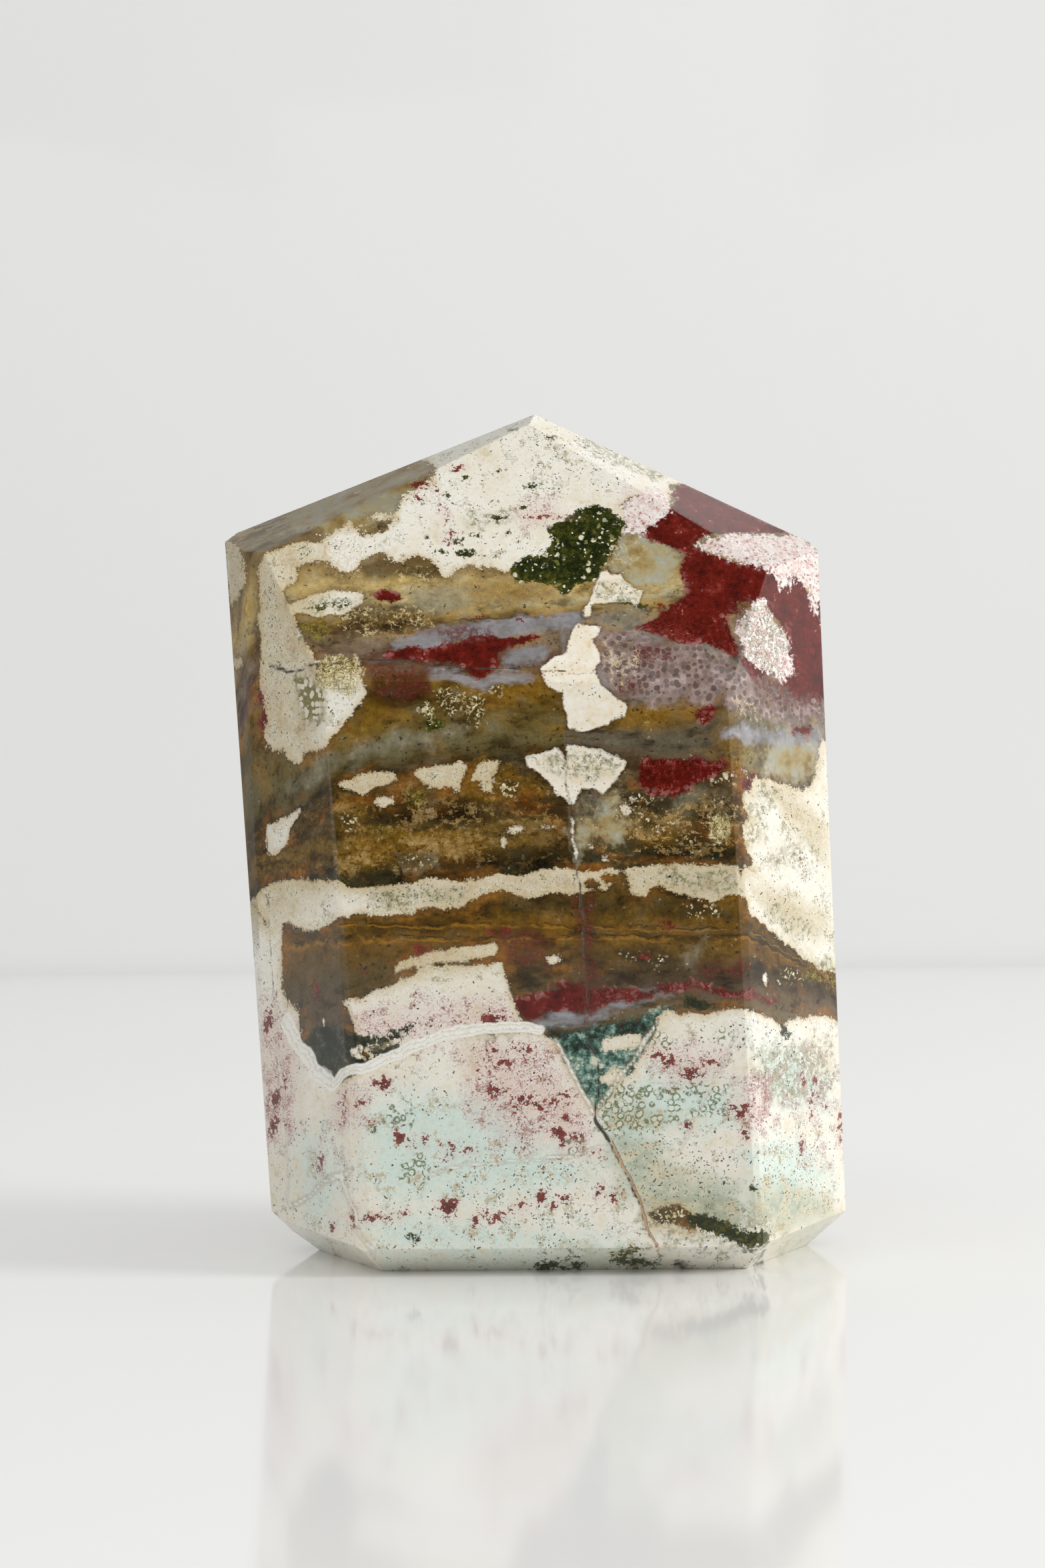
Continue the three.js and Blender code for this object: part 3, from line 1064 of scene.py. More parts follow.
# %% Murky, peppered and wine-veined parts of the foot
MURK = patches([
    "903,1700 930,1690 980,1712 1040,1760 1108,1770 1112,1846 1060,1846 1000,1822 960,1822 930,1776",
    "1126,1790 1180,1770 1244,1800 1250,1850 1180,1872 1130,1850",
    "905,1660 960,1650 1010,1680 960,1700 910,1700",
    "835,1884 900,1880 1010,1886 1010,1906 835,1906",
])
PEPPER = patches([
    "900,1690 960,1664 1020,1700 1110,1690 1112,1826 1000,1826 940,1806",
    "1140,1690 1240,1690 1250,1810 1150,1810",
    "690,1720 880,1740 900,1830 800,1860 680,1800",
    "790,640 890,640 900,720 800,750",
    "540,1300 700,1310 700,1370 540,1380",
])
WINE_NET = patches([
    "1128,1606 1160,1570 1210,1560 1262,1590 1266,1700 1246,1760 1216,1740 1190,1700 1150,1680",
    "396,1560 440,1600 436,1720 398,1700",
    "470,1700 512,1690 516,1760 480,1780",
])
keep_field("foot", MURK, PEPPER, WINE_NET)

# %% [markdown]
# The crack and the seams. The crack runs down the front: a hairline above, open and dark in the
# middle, and filled below. Seams are older cracks that healed white. They could be cut into the solid,
# but they are far narrower than a millimetre. So each is a line on the chart, with a width in pixels,
# and is stored with its side, because the filling lies on one side of it only.

# %% The crack and the healed seams
CRACK = [
    ("849,1095 852,1199 855,1244 864.5,1292", 0.8),
    ("864.5,1292 871,1333 876,1378 876,1435 882,1492 877,1531 880,1563", 1.3),
    ("880,1563 896,1594 899,1639 893,1671", 1.7),
    ("893,1671 896,1684 914,1710", 2.8),
    ("914,1710 936,1757 952,1796 971,1847 984,1872", 1.2),
    ("984,1872 1035,1902", 0.9),
]
THIN_CRACK = [
    ("401,1336 404,1400 408,1450 411,1499", 0.6),
    ("404,1002 440,1006 476,999 550,990 600,990 650,990 660,998 690,1000 740,1003 850,1007", 1.5),
]
signed, plain, width = seams(CRACK + THIN_CRACK)
keep_field("crack", signed, plain, width)
SEAMS = [
    ("832.6,1560 891.6,1668", 2.0),
    ("985.7,1534 901,1658.6", 2.0),
    ("1108.5,1544 1016,1732", 1.2),
    ("412,1499 422,1640 432,1760 435,1808", 0.9),
    ("1146,1297 1160,1292 1168,1284 1178,1280 1190,1273 1200,1266", 1.2),
    ("435,1808 468,1792 487,1770 524,1760", 2.4),
    ("428,1530 446,1566 470,1604 500,1627 545,1604 580,1588 650,1560 690,1546 770,1540 808,1546", 8.5),
    ("650,1760 700,1745 770,1745 850,1735 900,1720", 1.4),
    ("511,1757 519,1790 527,1815 535,1840 540,1856 562,1882", 1.4),
]
signed, plain, width = seams(SEAMS)
keep_field("seam", signed, plain, width)

# %% [markdown]
# The jasper's finish. It is mixed in the order in which the stone grew: banded ground first, then
# the clouds that stained it, then the chips, then the small spots, and at last the seams and the
# crack that cut through everything. Each mask is a distance field with a noise added to its edge.

# %% Noises of the stone
jasper = bpy.data.materials.new("polished jasper")
shop = Shop(jasper)
here = shop.add("ShaderNodeTexCoord", out=3)
here_mm = shop.scaled(here, 1 / MM)
across_mm, deep_mm, high_mm = shop.parts(here_mm)
level, fault_side, deep = shop.field("ground")
cream, white, pink_white = shop.field("pale")
red, moss, teal = shop.field("rich")
druse, grey, bubbles = shop.field("dim")
aqua, speckle, tan = shop.field("tint")
maroon, cells, flecks = shop.field("spots")
greenish, rings, dull = shop.field("extra")
crack_signed, crack_plain, crack_width = shop.field("crack")
seam_signed, seam_plain, seam_width = shop.field("seam")
glow, milky, shadowed = shop.field("glow")
knots, haze, olive = shop.field("knots")
murk, pepper, wine_net = shop.field("foot")

# Noise is squeezed by these, so that its grains are drawn out along the beds and into the stone
BED_STRETCH = 0.36
LAZY_STRETCH = 0.5
DEEP_STRETCH = 0.45
PIXELS_PER_MM = 12.0


def tell(step):
    """Print how large the finish has grown after a step."""
    print(step, "done, nodes so far:", len(jasper.node_tree.nodes))


along_beds = shop.add(
    "ShaderNodeCombineXYZ", None,
    {0: across_mm * BED_STRETCH, 1: deep_mm * BED_STRETCH, 2: level * (1 / PIXELS_PER_MM)},
)
drawn_out = shop.add(
    "ShaderNodeCombineXYZ", None, {0: across_mm, 1: deep_mm * DEEP_STRETCH, 2: high_mm},
)
broad = shop.cloud(drawn_out, 0.12)
middling = shop.cloud(drawn_out, 0.45, 3)
fine = shop.cloud(drawn_out, 1.6, 3, 0.6)
sandy = shop.cloud(drawn_out, 5.0, 2, 0.6)
beds = shop.cloud(along_beds, 0.7, 3, 0.6)
thin_beds = shop.cloud(along_beds, 2.6, 3, 0.65)
swirl = shop.add(
    "ShaderNodeTexNoise", {"noise_dimensions": "3D"},
    {"Vector": drawn_out, "Scale": 1.1, "Detail": 2.0}, out=1,
)


def bent_by_swirl(reach):
    """Places in the stone, pushed about by the swirl, so that grains don't look like honeycomb."""
    return shop.add(
        "ShaderNodeVectorMath", {"operation": "MULTIPLY_ADD"},
        {0: swirl, 1: (reach, reach, reach), 2: drawn_out},
    )


crooked = bent_by_swirl(1.3)
less_crooked = bent_by_swirl(0.35)
tell("noises")

# %% Edges, tones and grains
GRAIN_EDGE = 0.08


def frayed(field, fray, soft):
    """A patch from its distance field: edge moved by a noise, in pixels, over a soft width."""
    return (field + fray).between(-soft, soft)


def mottle(value, *tones):
    """A colour run from the first tone at -1 to the last at 1."""
    step = 2 / (len(tones) - 1)
    return shop.ramp(value, [(-1 + step * n, paint(*tone)) for n, tone in enumerate(tones)])


def by_level(value, stops):
    """A colour run over the levels; each stop is a level, then red, green and blue."""
    return shop.ramp(value, [(at, paint(*tone)) for at, *tone in stops])


def lay(under, amount, *tones, by=None, style="MIX"):
    """Colour under, covered where amount is 1 by one tone, or by a run of tones that by picks from."""
    over = paint(*tones[0]) if by is None else mottle(by, *tones)
    return shop.blend(amount, under, over, style)


def picked(number):
    """A number from 0 to 1 as -1 to 1, which is what a run of tones expects."""
    return number * 2 - 1


def pebbled(per_mm, fullness, place, scatter=1.0):
    """Rounded grains and a random number for each: how far inside a grain, and the number."""
    net = shop.add(
        "ShaderNodeTexVoronoi", {"feature": "F1"},
        {"Vector": place, "Scale": per_mm, "Randomness": scatter},
    )
    luck, tone, _ = shop.parts(net.beside(1))
    return (fullness - net).between(0.0, GRAIN_EDGE), luck, tone


tiny_in, tiny_luck, tiny_tone = pebbled(3.1, 0.4, crooked)
small_in, small_luck, small_tone = pebbled(2.1, sandy * 0.06 + 0.42, crooked)
grain_in, grain_luck, grain_tone = pebbled(1.15, fine * 0.09 + 0.36, crooked)
bubble_in, bubble_luck, _ = pebbled(1.3, fine * 0.06 + 0.53, less_crooked, 0.8)
honey = shop.add(
    "ShaderNodeTexVoronoi", {"feature": "DISTANCE_TO_EDGE"},
    {"Vector": crooked, "Scale": 1.5, "Randomness": 1.0},
)
tell("edges, tones and grains")

# %% [markdown]
# The ground of the stone. Chalcedony settled in beds, so its colour depends on the level in the stack
# and hardly on anything else. A band could be painted along each horizon, but a colour ramp over the
# level gives them all at once, and they bend with the horizons. A small fault shifted the right part
# before it healed, so each side has its own ramp: a level, then red, green and blue.

# %% Banded ground
# Rows of the chart between which something sets in or dies away
FAULT_BEGINS = (925, 940)
LEFT_BANDS = [
    (700, 168, 156, 136), (780, 150, 136, 108), (840, 134, 114, 76), (862, 176, 152, 100),
    (885, 200, 176, 118), (905, 184, 170, 130), (922, 150, 124, 70), (931, 104, 80, 44),
    (938, 116, 96, 66), (955, 128, 110, 88), (970, 104, 78, 62), (985, 94, 66, 48),
    (1005, 122, 100, 80), (1020, 142, 108, 42), (1045, 110, 84, 30), (1070, 104, 86, 42),
    (1095, 116, 98, 52), (1112, 112, 102, 66), (1130, 96, 84, 50), (1142, 58, 48, 26),
    (1190, 96, 74, 36), (1220, 80, 64, 32), (1250, 126, 100, 46), (1268, 112, 86, 36),
    (1300, 50, 48, 28), (1345, 98, 80, 42), (1362, 76, 60, 24), (1380, 100, 72, 16),
    (1396, 84, 62, 14), (1412, 112, 82, 24), (1450, 88, 74, 42), (1500, 92, 76, 52),
]
RIGHT_BANDS = [
    (860, 205, 186, 136), (885, 196, 182, 146), (905, 160, 152, 138), (930, 142, 132, 120),
    (960, 130, 120, 112), (1000, 152, 142, 140), (1040, 156, 146, 140), (1065, 142, 106, 44),
    (1085, 112, 90, 48), (1105, 106, 96, 78), (1125, 102, 94, 78), (1150, 98, 76, 50),
    (1180, 94, 78, 54), (1205, 78, 70, 52), (1230, 110, 90, 54), (1255, 90, 70, 38),
    (1275, 80, 72, 44), (1292, 62, 60, 44), (1345, 96, 76, 34), (1365, 64, 52, 24),
    (1380, 90, 68, 20), (1392, 88, 70, 40), (1403, 60, 46, 14), (1415, 102, 76, 22),
    (1440, 78, 62, 26), (1460, 78, 62, 34), (1480, 82, 66, 48), (1500, 104, 86, 64),
    (1560, 118, 104, 72),
]
bent = level + beds * 5 + middling * 4 + fine * 2
left_bands = by_level(bent, LEFT_BANDS)
right_bands = by_level(bent, RIGHT_BANDS)
beyond_fault = frayed(fault_side, fine * 1.5, 2) * level.between(*FAULT_BEGINS)
colour = shop.blend(beyond_fault, left_bands, right_bands)
tell("banded ground")

# %% Drifts of amber, smoke and milk through the beds
AMBER_TONES = [
    (700, 196, 168, 110), (880, 208, 176, 98), (1000, 178, 120, 36), (1110, 142, 112, 52),
    (1200, 158, 96, 34), (1400, 146, 100, 28), (1500, 120, 84, 40),
]
MILK_TONES = [
    (850, 196, 190, 172), (1000, 150, 140, 120), (1120, 128, 126, 104), (1300, 120, 110, 84),
    (1500, 110, 96, 80),
]
BRIGHTEN = 1.42
lazy_beds = shop.add(
    "ShaderNodeCombineXYZ", None,
    {0: across_mm * LAZY_STRETCH, 1: deep_mm * LAZY_STRETCH, 2: level * (1 / PIXELS_PER_MM)},
)
amber = shop.cloud(lazy_beds, 0.3, 4, 0.6)
smoke = shop.cloud(lazy_beds, 0.55, 4, 0.62)
curds = shop.cloud(lazy_beds, 0.62, 4, 0.68)
colour = shop.blend(amber.between(0.05, 0.9) * 0.75, colour, by_level(level, AMBER_TONES))
colour = lay(colour, smoke.between(0.0, -0.7) * 0.75, (126, 116, 92), style="MULTIPLY")
colour = shop.blend(smoke.between(0.15, 0.9) * 0.4, colour, by_level(level, MILK_TONES))
shade = mottle(
    thin_beds * 0.2 + fine * 0.45 + sandy * 0.45, (160, 158, 156), (198, 197, 196), (222, 220, 214),
    (250, 246, 232),
)
colour = shop.blend(1.0, colour, shop.scaled(shade, BRIGHTEN), "MULTIPLY")
tell("drifts")

# %% Glowing, milky, shadowed and olive zones
GLOW_DULLS = (1340, 1370)
in_glow = frayed(glow, middling * 9 + beds * 5 + fine * 3, 10)
colour = lay(
    colour, in_glow * level.between(*GLOW_DULLS, 0.6, 0.3), (84, 58, 18), (118, 86, 20), (142, 104, 28),
    (176, 138, 56), by=middling * 0.5 + fine * 0.6 + sandy * 0.3,
)
in_milk = frayed(milky, middling * 10 + beds * 5 + fine * 2, 10)
colour = lay(
    colour, in_milk * 0.6, (92, 86, 62), (118, 112, 90), (146, 140, 118), (178, 170, 144),
    by=middling * 0.6 + fine * 0.4,
)
in_shadow = frayed(shadowed, middling * 8 + beds * 4 + fine * 3, 9)
colour = lay(colour, in_shadow * 0.75, (118, 108, 92), style="MULTIPLY")
in_olive = frayed(olive, middling * 9 + fine * 6, 7)
colour = lay(
    colour, in_olive * (fine + sandy * 0.6).between(-0.4, 0.5) * 0.8, (46, 50, 14), (92, 88, 26),
    (140, 128, 48), (180, 168, 96), by=sandy * 0.7 + fine * 0.4,
)
tell("zones")

# %% [markdown]
# Curdled beds. In the brown beds the stone broke up while it was soft, into pale lumps in a dark mass
# and small grains. Modelling grains would be endless, and they are flush anyway. Cell noise gives
# each grain a shape and a random number, and that number decides whether it shows and in which tone.

# %% Curdled beds
BROWN_BEDS_BEGIN = (1142, 1160)
BROWN_BEDS_END = (1308, 1296)
ACROSS_FAULT = (-4, 4)
thick = frayed(flecks, middling * 16, 12)
brown_beds = level.between(*BROWN_BEDS_BEGIN) * level.between(*BROWN_BEDS_END)
crisp = fine * 0.5 + sandy * 0.4
pale_lumps = (curds + thick * 0.3 + crisp - 0.3).between(0.0, 0.3) * (thick * 0.7 + brown_beds * 0.3)
colour = lay(colour, (curds + crisp * 0.6).between(-0.25, -0.6) * brown_beds * 0.6, (62, 52, 30))
restless = fault_side.between(*ACROSS_FAULT, 0.3, 1.0)
colour = lay(
    colour, pale_lumps.least(1.0) * (restless * 0.5 + 0.4) * 0.85, (116, 88, 46), (150, 118, 66),
    (180, 150, 96), (214, 194, 146), by=fine * 0.6 + amber * 0.6 + sandy * 0.3,
)
crowded = thick * 0.12 + brown_beds * 0.07 + 0.02
clumps = (curds + smoke * 0.4).between(-0.1, 0.5)
shown = (grain_luck + crowded - 1.0).between(0.0, 0.03) * grain_in * clumps
colour = lay(
    colour, shown * restless * 0.85, (66, 56, 34), (150, 120, 74), (206, 188, 142), (224, 212, 176),
    by=picked(grain_tone) + sandy * 0.4,
)
shown = (small_luck + thick * 0.2 + brown_beds * 0.14 - 0.93).between(0.0, 0.04) * small_in * clumps
colour = lay(
    colour, shown * restless * 0.8, (150, 120, 70), (196, 168, 112), (222, 210, 172),
    by=picked(small_tone),
)
soot = small_in * (small_luck + middling * 0.05).between(0.1, 0.06)
colour = lay(colour, soot * 0.75, (36, 28, 16))
tell("curdled beds")

# %% Hairlines that follow the beds
DARK_LINE, AMBER_LINE = (44, 32, 14), (176, 124, 36)
# Level, width, strength, tone
HAIRLINES = (
    (931, 2.2, 0.6, DARK_LINE), (1312, 1.8, 0.5, DARK_LINE), (1384, 1.5, 0.75, DARK_LINE),
    (1389, 2.6, 0.5, AMBER_LINE), (1404, 1.6, 0.85, DARK_LINE), (1410, 3.0, 0.45, AMBER_LINE),
)
for at, width, strength, tone in HAIRLINES:
    away = abs(level + fine * 2.2 + middling * 2 - at)
    here_and_there = (beds + thin_beds * 0.5 + middling * 0.4).between(-0.4, 0.2)
    line = away.between(width, width * 0.3) * here_and_there
    colour = lay(colour, line * strength, tone)
tell("hairlines")

# %% Beads, and warm borders round the chips
UPPER_PART = (1000, 940)
MIDDLE_PART = (1000, 1060)
in_knot = frayed(knots, middling * 5 + fine * 6, 4)
colour = lay(colour, in_knot * 0.6, (60, 50, 24))
beads = (small_in * (small_luck - 0.2).between(0, 0.1)).most(
    grain_in * (grain_luck - 0.6).between(0, 0.1),
)
colour = lay(
    colour, in_knot * beads * 0.95, (176, 152, 98), (218, 204, 160), (236, 230, 206),
    by=picked(small_tone) + sandy * 0.5,
)
brown_edge = frayed(cream, middling * 5 + 10.0, 11) * level.between(*UPPER_PART)
brown_edge = brown_edge * (smoke + 0.6).between(0, 0.6)
colour = lay(colour, brown_edge * 0.5, (108, 80, 40))
warm_edge = frayed(cream, fine * 4 + 11.0, 9) * level.between(*MIDDLE_PART)
warm_edge = warm_edge * amber.between(-0.3, 0.5)
colour = lay(colour, warm_edge * 0.55, (120, 78, 28), (158, 100, 34), (180, 124, 52), by=fine)
tell("beads and borders")

# %% [markdown]
# Stains and clouds. They soaked into the ground before the chips were healed in, so they are laid
# over it and under the chips. A stain is a run of tones that a noise picks from, and not one colour,
# because real iron red goes from near black to pink within a millimetre.

# %% Tan, grey and bubbled chalcedony
# Rows above which the tan gets painted shade, on the point
TAN_SHADED_ON_THE_POINT = (830, 790)
in_tan = frayed(tan, middling * 16 + fine * 6, 10)
colour = lay(
    colour, in_tan * 0.85, (136, 108, 60), (164, 142, 92), (174, 164, 128), (168, 168, 154),
    (198, 188, 156), by=middling * 0.8 + amber * 0.6 + fine * 0.2,
)
# High on the point the tan is darkened: painted shade, against the pale veil that the point's slanting
# left facet mirrors.
colour = lay(colour, in_tan * level.between(*TAN_SHADED_ON_THE_POINT) * 0.6, (200, 188, 162), style="MULTIPLY")
in_grey = frayed(grey, beds * 8 + fine * 3, 6)
colour = lay(
    colour, in_grey * 0.8, (104, 102, 96), (130, 129, 130), (154, 154, 160), (184, 182, 190),
    by=beds * 0.6 + middling * 0.3 + fine * 0.2,
)
in_bubbles = frayed(bubbles, middling * 12 + fine * 5, 8)
colour = lay(
    colour, in_bubbles * (0.75 + broad * 0.6 + middling * 0.3).between(0.2, 0.8), (110, 86, 68),
    (138, 116, 106), (168, 148, 142), (198, 182, 180), by=middling * 0.7 + fine * 0.4,
)
colour = lay(
    colour, in_bubbles * bubble_in * 0.8, (74, 56, 44), (92, 76, 68), (110, 94, 92), (130, 116, 116),
    by=picked(bubble_luck) + middling * 0.4,
)
tell("tan, grey and bubbles")

# %% Red, haze and teal
TEAL_PALES = (1560, 1640)
BLOOM_BEYOND_FAULT = (10, 30)
# Millimetres behind the front over which the bloom fades, leaving painted shade on the flanks' red
BLOOM_IN_FRONT_FLANKS_SHADED = (6, 2)
in_red = frayed(red, middling * 5 + fine * 5 + sandy * 2, 2.5)
colour = lay(
    colour, in_red, (34, 8, 5), (72, 16, 9), (96, 22, 12), (112, 30, 20), (140, 66, 56),
    by=fine * 0.45 + sandy * 0.35 + middling * 0.5,
)
red_border = frayed(red, middling * 10 - 9.0, 7).between(1, 0)
frost = in_red * red_border * bubble_in * middling.between(-0.1, 0.4)
colour = lay(colour, frost * 0.75, (178, 128, 122))
bloom = in_red * (sandy * 0.6 + fine * 0.6 + broad * 0.5).between(0.0, 0.9)
# The bloom is the stone's own pink, but it fades out a few millimetres behind the front. That leaves the
# red on the flanks darker: painted shade, against their stronger light and pale veil.
bloom = bloom * fault_side.between(*BLOOM_BEYOND_FAULT) * deep.between(*BLOOM_IN_FRONT_FLANKS_SHADED)
colour = lay(colour, bloom * 0.42, (166, 112, 104))
colour = lay(
    colour, in_red * small_in * (small_luck - 0.86).between(0, 0.04) * middling.between(0.2, 0.6) * 0.6,
    (190, 140, 130),
)
in_haze = frayed(haze, middling * 10 + fine * 6, 8)
colour = lay(
    colour, in_haze * (fine * 0.8 + sandy * 0.5 + 0.3).between(-0.3, 0.5) * 0.8, (40, 12, 8),
    (74, 24, 18), (100, 44, 38), (136, 84, 76), by=fine * 0.5 + sandy * 0.5,
)
in_teal = frayed(teal, middling * 4 + fine * 4, 6)
colour = lay(
    colour, in_teal * 0.97, (20, 24, 14), (28, 50, 38), (66, 102, 90), (128, 158, 146), (208, 208, 186),
    by=middling * 0.9 + fine * 0.8 + sandy * 0.3 + level.between(*TEAL_PALES) * 0.7 - 0.35,
)
tell("red, haze and teal")

# %% [markdown]
# The chips. First the cream's own colour is mixed, with all its tints and specks, and then it is laid
# on the ground in one go. The other way round, each tint would need the cream's edge again. The edge
# is scalloped, because chalcedony grows in small round lobes, and it has a thin dark rim.

# %% The cream's tints
cream_tone = mottle(
    middling * 0.5 + fine * 0.35 + broad * 0.4, (206, 192, 158), (228, 220, 200), (236, 232, 219),
    (240, 238, 229), (243, 242, 236),
)
in_dull = frayed(dull, middling * 14, 16)
cream_tone = lay(
    cream_tone, in_dull * 0.8, (158, 134, 94), (200, 182, 146), (216, 206, 178), (232, 226, 210),
    by=middling * 0.6 + fine * 0.6 + sandy * 0.25 + amber * 0.4,
)
in_aqua = frayed(aqua, middling * 26, 26)
cream_tone = lay(
    cream_tone, in_aqua * 0.8, (186, 212, 204), (208, 226, 218), (226, 236, 228),
    by=fine * 0.6 + middling * 0.4,
)
in_murk = frayed(murk, middling * 18 + fine * 8, 16)
cream_tone = lay(
    cream_tone, in_murk * 0.75, (124, 130, 104), (160, 167, 141), (194, 198, 174), (226, 221, 199),
    by=middling * 0.5 + fine * 0.6 + sandy * 0.2,
)
in_speckle = frayed(speckle, middling * 20, 20)
cream_tone = lay(
    cream_tone, in_speckle * 0.36, (204, 162, 162), (222, 194, 190), (232, 218, 210),
    by=middling * 0.6 + fine * 0.5,
)
in_rings = frayed(rings, fine * 6, 3)
patchy = (middling + broad * 0.6).between(0.1, 0.6)
comb = (honey + fine * 0.02).between(0.07, 0.015) * patchy.most(in_rings)
cream_tone = lay(cream_tone, comb * 0.45, (176, 156, 112))
blotch = (middling * 0.8 + fine * 0.8).between(0.5, 0.95)
cream_tone = lay(cream_tone, blotch * 0.4, (204, 182, 138))
in_green = frayed(greenish, middling * 10 + fine * 4, 8)
cream_tone = lay(
    cream_tone, in_green * (fine + sandy * 0.6).between(-0.5, 0.7) * 0.8, (54, 58, 22), (108, 106, 52),
    (162, 154, 102), by=sandy,
)
tell("tints")

# %% The cream's specks and veins
grit = (tiny_luck + (broad + middling).between(-0.5, 0.9) * 0.16 - 0.97).between(0, 0.02) * tiny_in
cream_tone = lay(cream_tone, grit * 0.95, (34, 36, 22), (62, 56, 36), (100, 76, 56), by=picked(tiny_tone))
in_pepper = frayed(pepper, middling * 22, 18)
lumpy = (middling * 0.7 + fine * 0.6).between(0.0, 0.35) * in_murk
cream_tone = lay(cream_tone, lumpy * 0.7, (206, 196, 166), (226, 218, 196), by=sandy)
crowding = (fine + middling).between(-0.4, 0.8) * 0.34
peppered = (tiny_luck + crowding - 0.76).between(0, 0.03) * tiny_in * in_pepper
cream_tone = lay(
    cream_tone, peppered * 0.9, (40, 52, 44), (74, 84, 66), (110, 96, 74), by=picked(tiny_tone),
)
in_wine_net = frayed(wine_net, middling * 16 + fine * 6, 12)
vein_net = abs(fine + sandy * 0.25 + 0.1).between(0.16, 0.05)
veins = vein_net * in_wine_net * (middling + sandy * 0.3).between(-0.2, 0.3)
cream_tone = lay(
    cream_tone, veins * 0.85, (60, 52, 56), (112, 52, 62), (160, 96, 104), (196, 150, 154),
    by=middling + sandy * 0.5,
)
smudges = (fine * 0.8 + sandy * 0.7 + middling * 0.6).between(0.42, 0.8)
cream_tone = lay(cream_tone, smudges * 0.5, (166, 150, 108))
stipple = (sandy + fine * 0.6).between(0.5, 0.8) * in_dull
cream_tone = lay(cream_tone, stipple * 0.65, (112, 108, 72))
dust = (sandy * 0.9 + fine * 0.5 + middling * 0.4).between(-0.05, 0.5) * in_speckle
cream_tone = lay(cream_tone, dust * 0.6, (168, 112, 112))
wine = (tiny_luck + sandy * 0.2 - 0.5).between(0, 0.1) * tiny_in * in_speckle
wine = wine * (fine + middling + 0.3).between(0, 0.4)
cream_tone = lay(
    cream_tone, wine * 0.95, (84, 26, 34), (124, 50, 56), (168, 104, 106), by=picked(small_tone),
)
tell("specks and veins")

# %% Cream chips laid on the ground
LOBES_GROW = (900, 850)
lobes = (abs(fine) * 6 + middling * 3 + sandy - 2.0) * level.between(*LOBES_GROW, 1.0, 2.0)
in_cream = frayed(cream, lobes, 1.6)
rim = frayed(cream, lobes + 3.0, 2) * frayed(cream, lobes - 3.0, 5).between(1, 0)
colour = lay(colour, rim * 0.5 * (1.0 - in_teal), (86, 60, 28), style="MULTIPLY")
edge_tone = lay(cream_tone, frayed(cream, fine * 4 - 7.0, 6).between(1, 0) * 0.45, (204, 180, 128))
colour = shop.blend(in_cream, colour, edge_tone)
combed = in_olive * in_cream
colour = lay(colour, combed * 0.9, (92, 84, 44), (122, 112, 66), (150, 140, 94), by=sandy)
colour = lay(colour, combed * bubble_in * 0.95, (226, 220, 200))
tell("cream chips")

# %% Pink and white chips
in_pink = frayed(pink_white, middling * 7 + fine * 9 + sandy * 4, 3)
colour = lay(
    colour, in_pink, (158, 92, 88), (210, 180, 174), (228, 214, 208), (236, 228, 224), (240, 238, 234),
    by=fine * 0.8 + sandy * 0.4 + middling * 0.3,
)
colour = lay(
    colour, in_pink * small_in * (small_luck + middling * 0.2 - 0.6).between(0, 0.1) * 0.8, (110, 44, 42),
    (160, 96, 94), (120, 130, 96), by=picked(small_tone),
)
pink_net = abs(fine + sandy * 0.3).between(0.24, 0.08) * in_pink * in_green
colour = lay(colour, pink_net * 0.9, (72, 84, 50), (116, 124, 88), (156, 150, 120), by=sandy)
tell("pink and white chips")

# %% [markdown]
# Moss. It grew through everything that was there before, so it goes over the chips. At the lower left
# it fills a whole patch, dark and mauve, and at the right of the foot it is a thin weed. All of it is one
# mask, and the level decides which kind it is.

# %% Moss, its dark patch, snow and weeds
DARK_PATCH_BEGINS = (1500, 1530)
DARK_PATCH_ENDS = (1690, 1640)
SNOW_ENDS = (1400, 1300)
WEEDS_BEGIN = (1700, 1750)
WEEDS_END = (1902, 1888)
in_moss = frayed(moss, middling * 4 + fine * 6 + sandy * 3, 1.8)
colour = lay(
    colour, in_moss, (11, 15, 3), (23, 31, 7), (40, 46, 12), (72, 72, 22), (122, 116, 52),
    by=fine * 0.6 + sandy * 0.3 + middling * 0.4,
)
colour = lay(
    colour, in_moss * grain_in * (grain_luck - 0.7).between(0, 0.05) * 0.7, (52, 62, 20), (104, 108, 44),
    (160, 158, 92), by=picked(grain_tone),
)
gloomy = in_moss * level.between(*DARK_PATCH_BEGINS) * level.between(*DARK_PATCH_ENDS)
colour = lay(
    colour, gloomy * 0.85, (12, 18, 5), (24, 31, 14), (46, 50, 34), (78, 76, 70), (118, 92, 92),
    by=fine * 0.7 + middling * 0.7 + sandy * 0.3 - 0.25,
)
snow_luck = (middling * 0.7 + fine * 0.4 + broad * 0.5).between(-0.5, -0.1)
snowy = in_moss * level.between(*SNOW_ENDS) * snow_luck
colour = lay(colour, snowy * bubble_in * (bubble_luck - 0.89).between(0, 0.03), (218, 214, 184))
colour = lay(colour, snowy * small_in * (small_luck - 0.84).between(0, 0.03) * 0.95, (232, 230, 208))
weed_luck = (sandy + fine * 0.6).between(-0.3, 0.4)
weedy = in_moss * level.between(*WEEDS_BEGIN) * level.between(*WEEDS_END) * weed_luck
colour = lay(colour, weedy * 0.7, (70, 76, 34), (124, 126, 78), (182, 180, 140), by=sandy)
tell("moss")

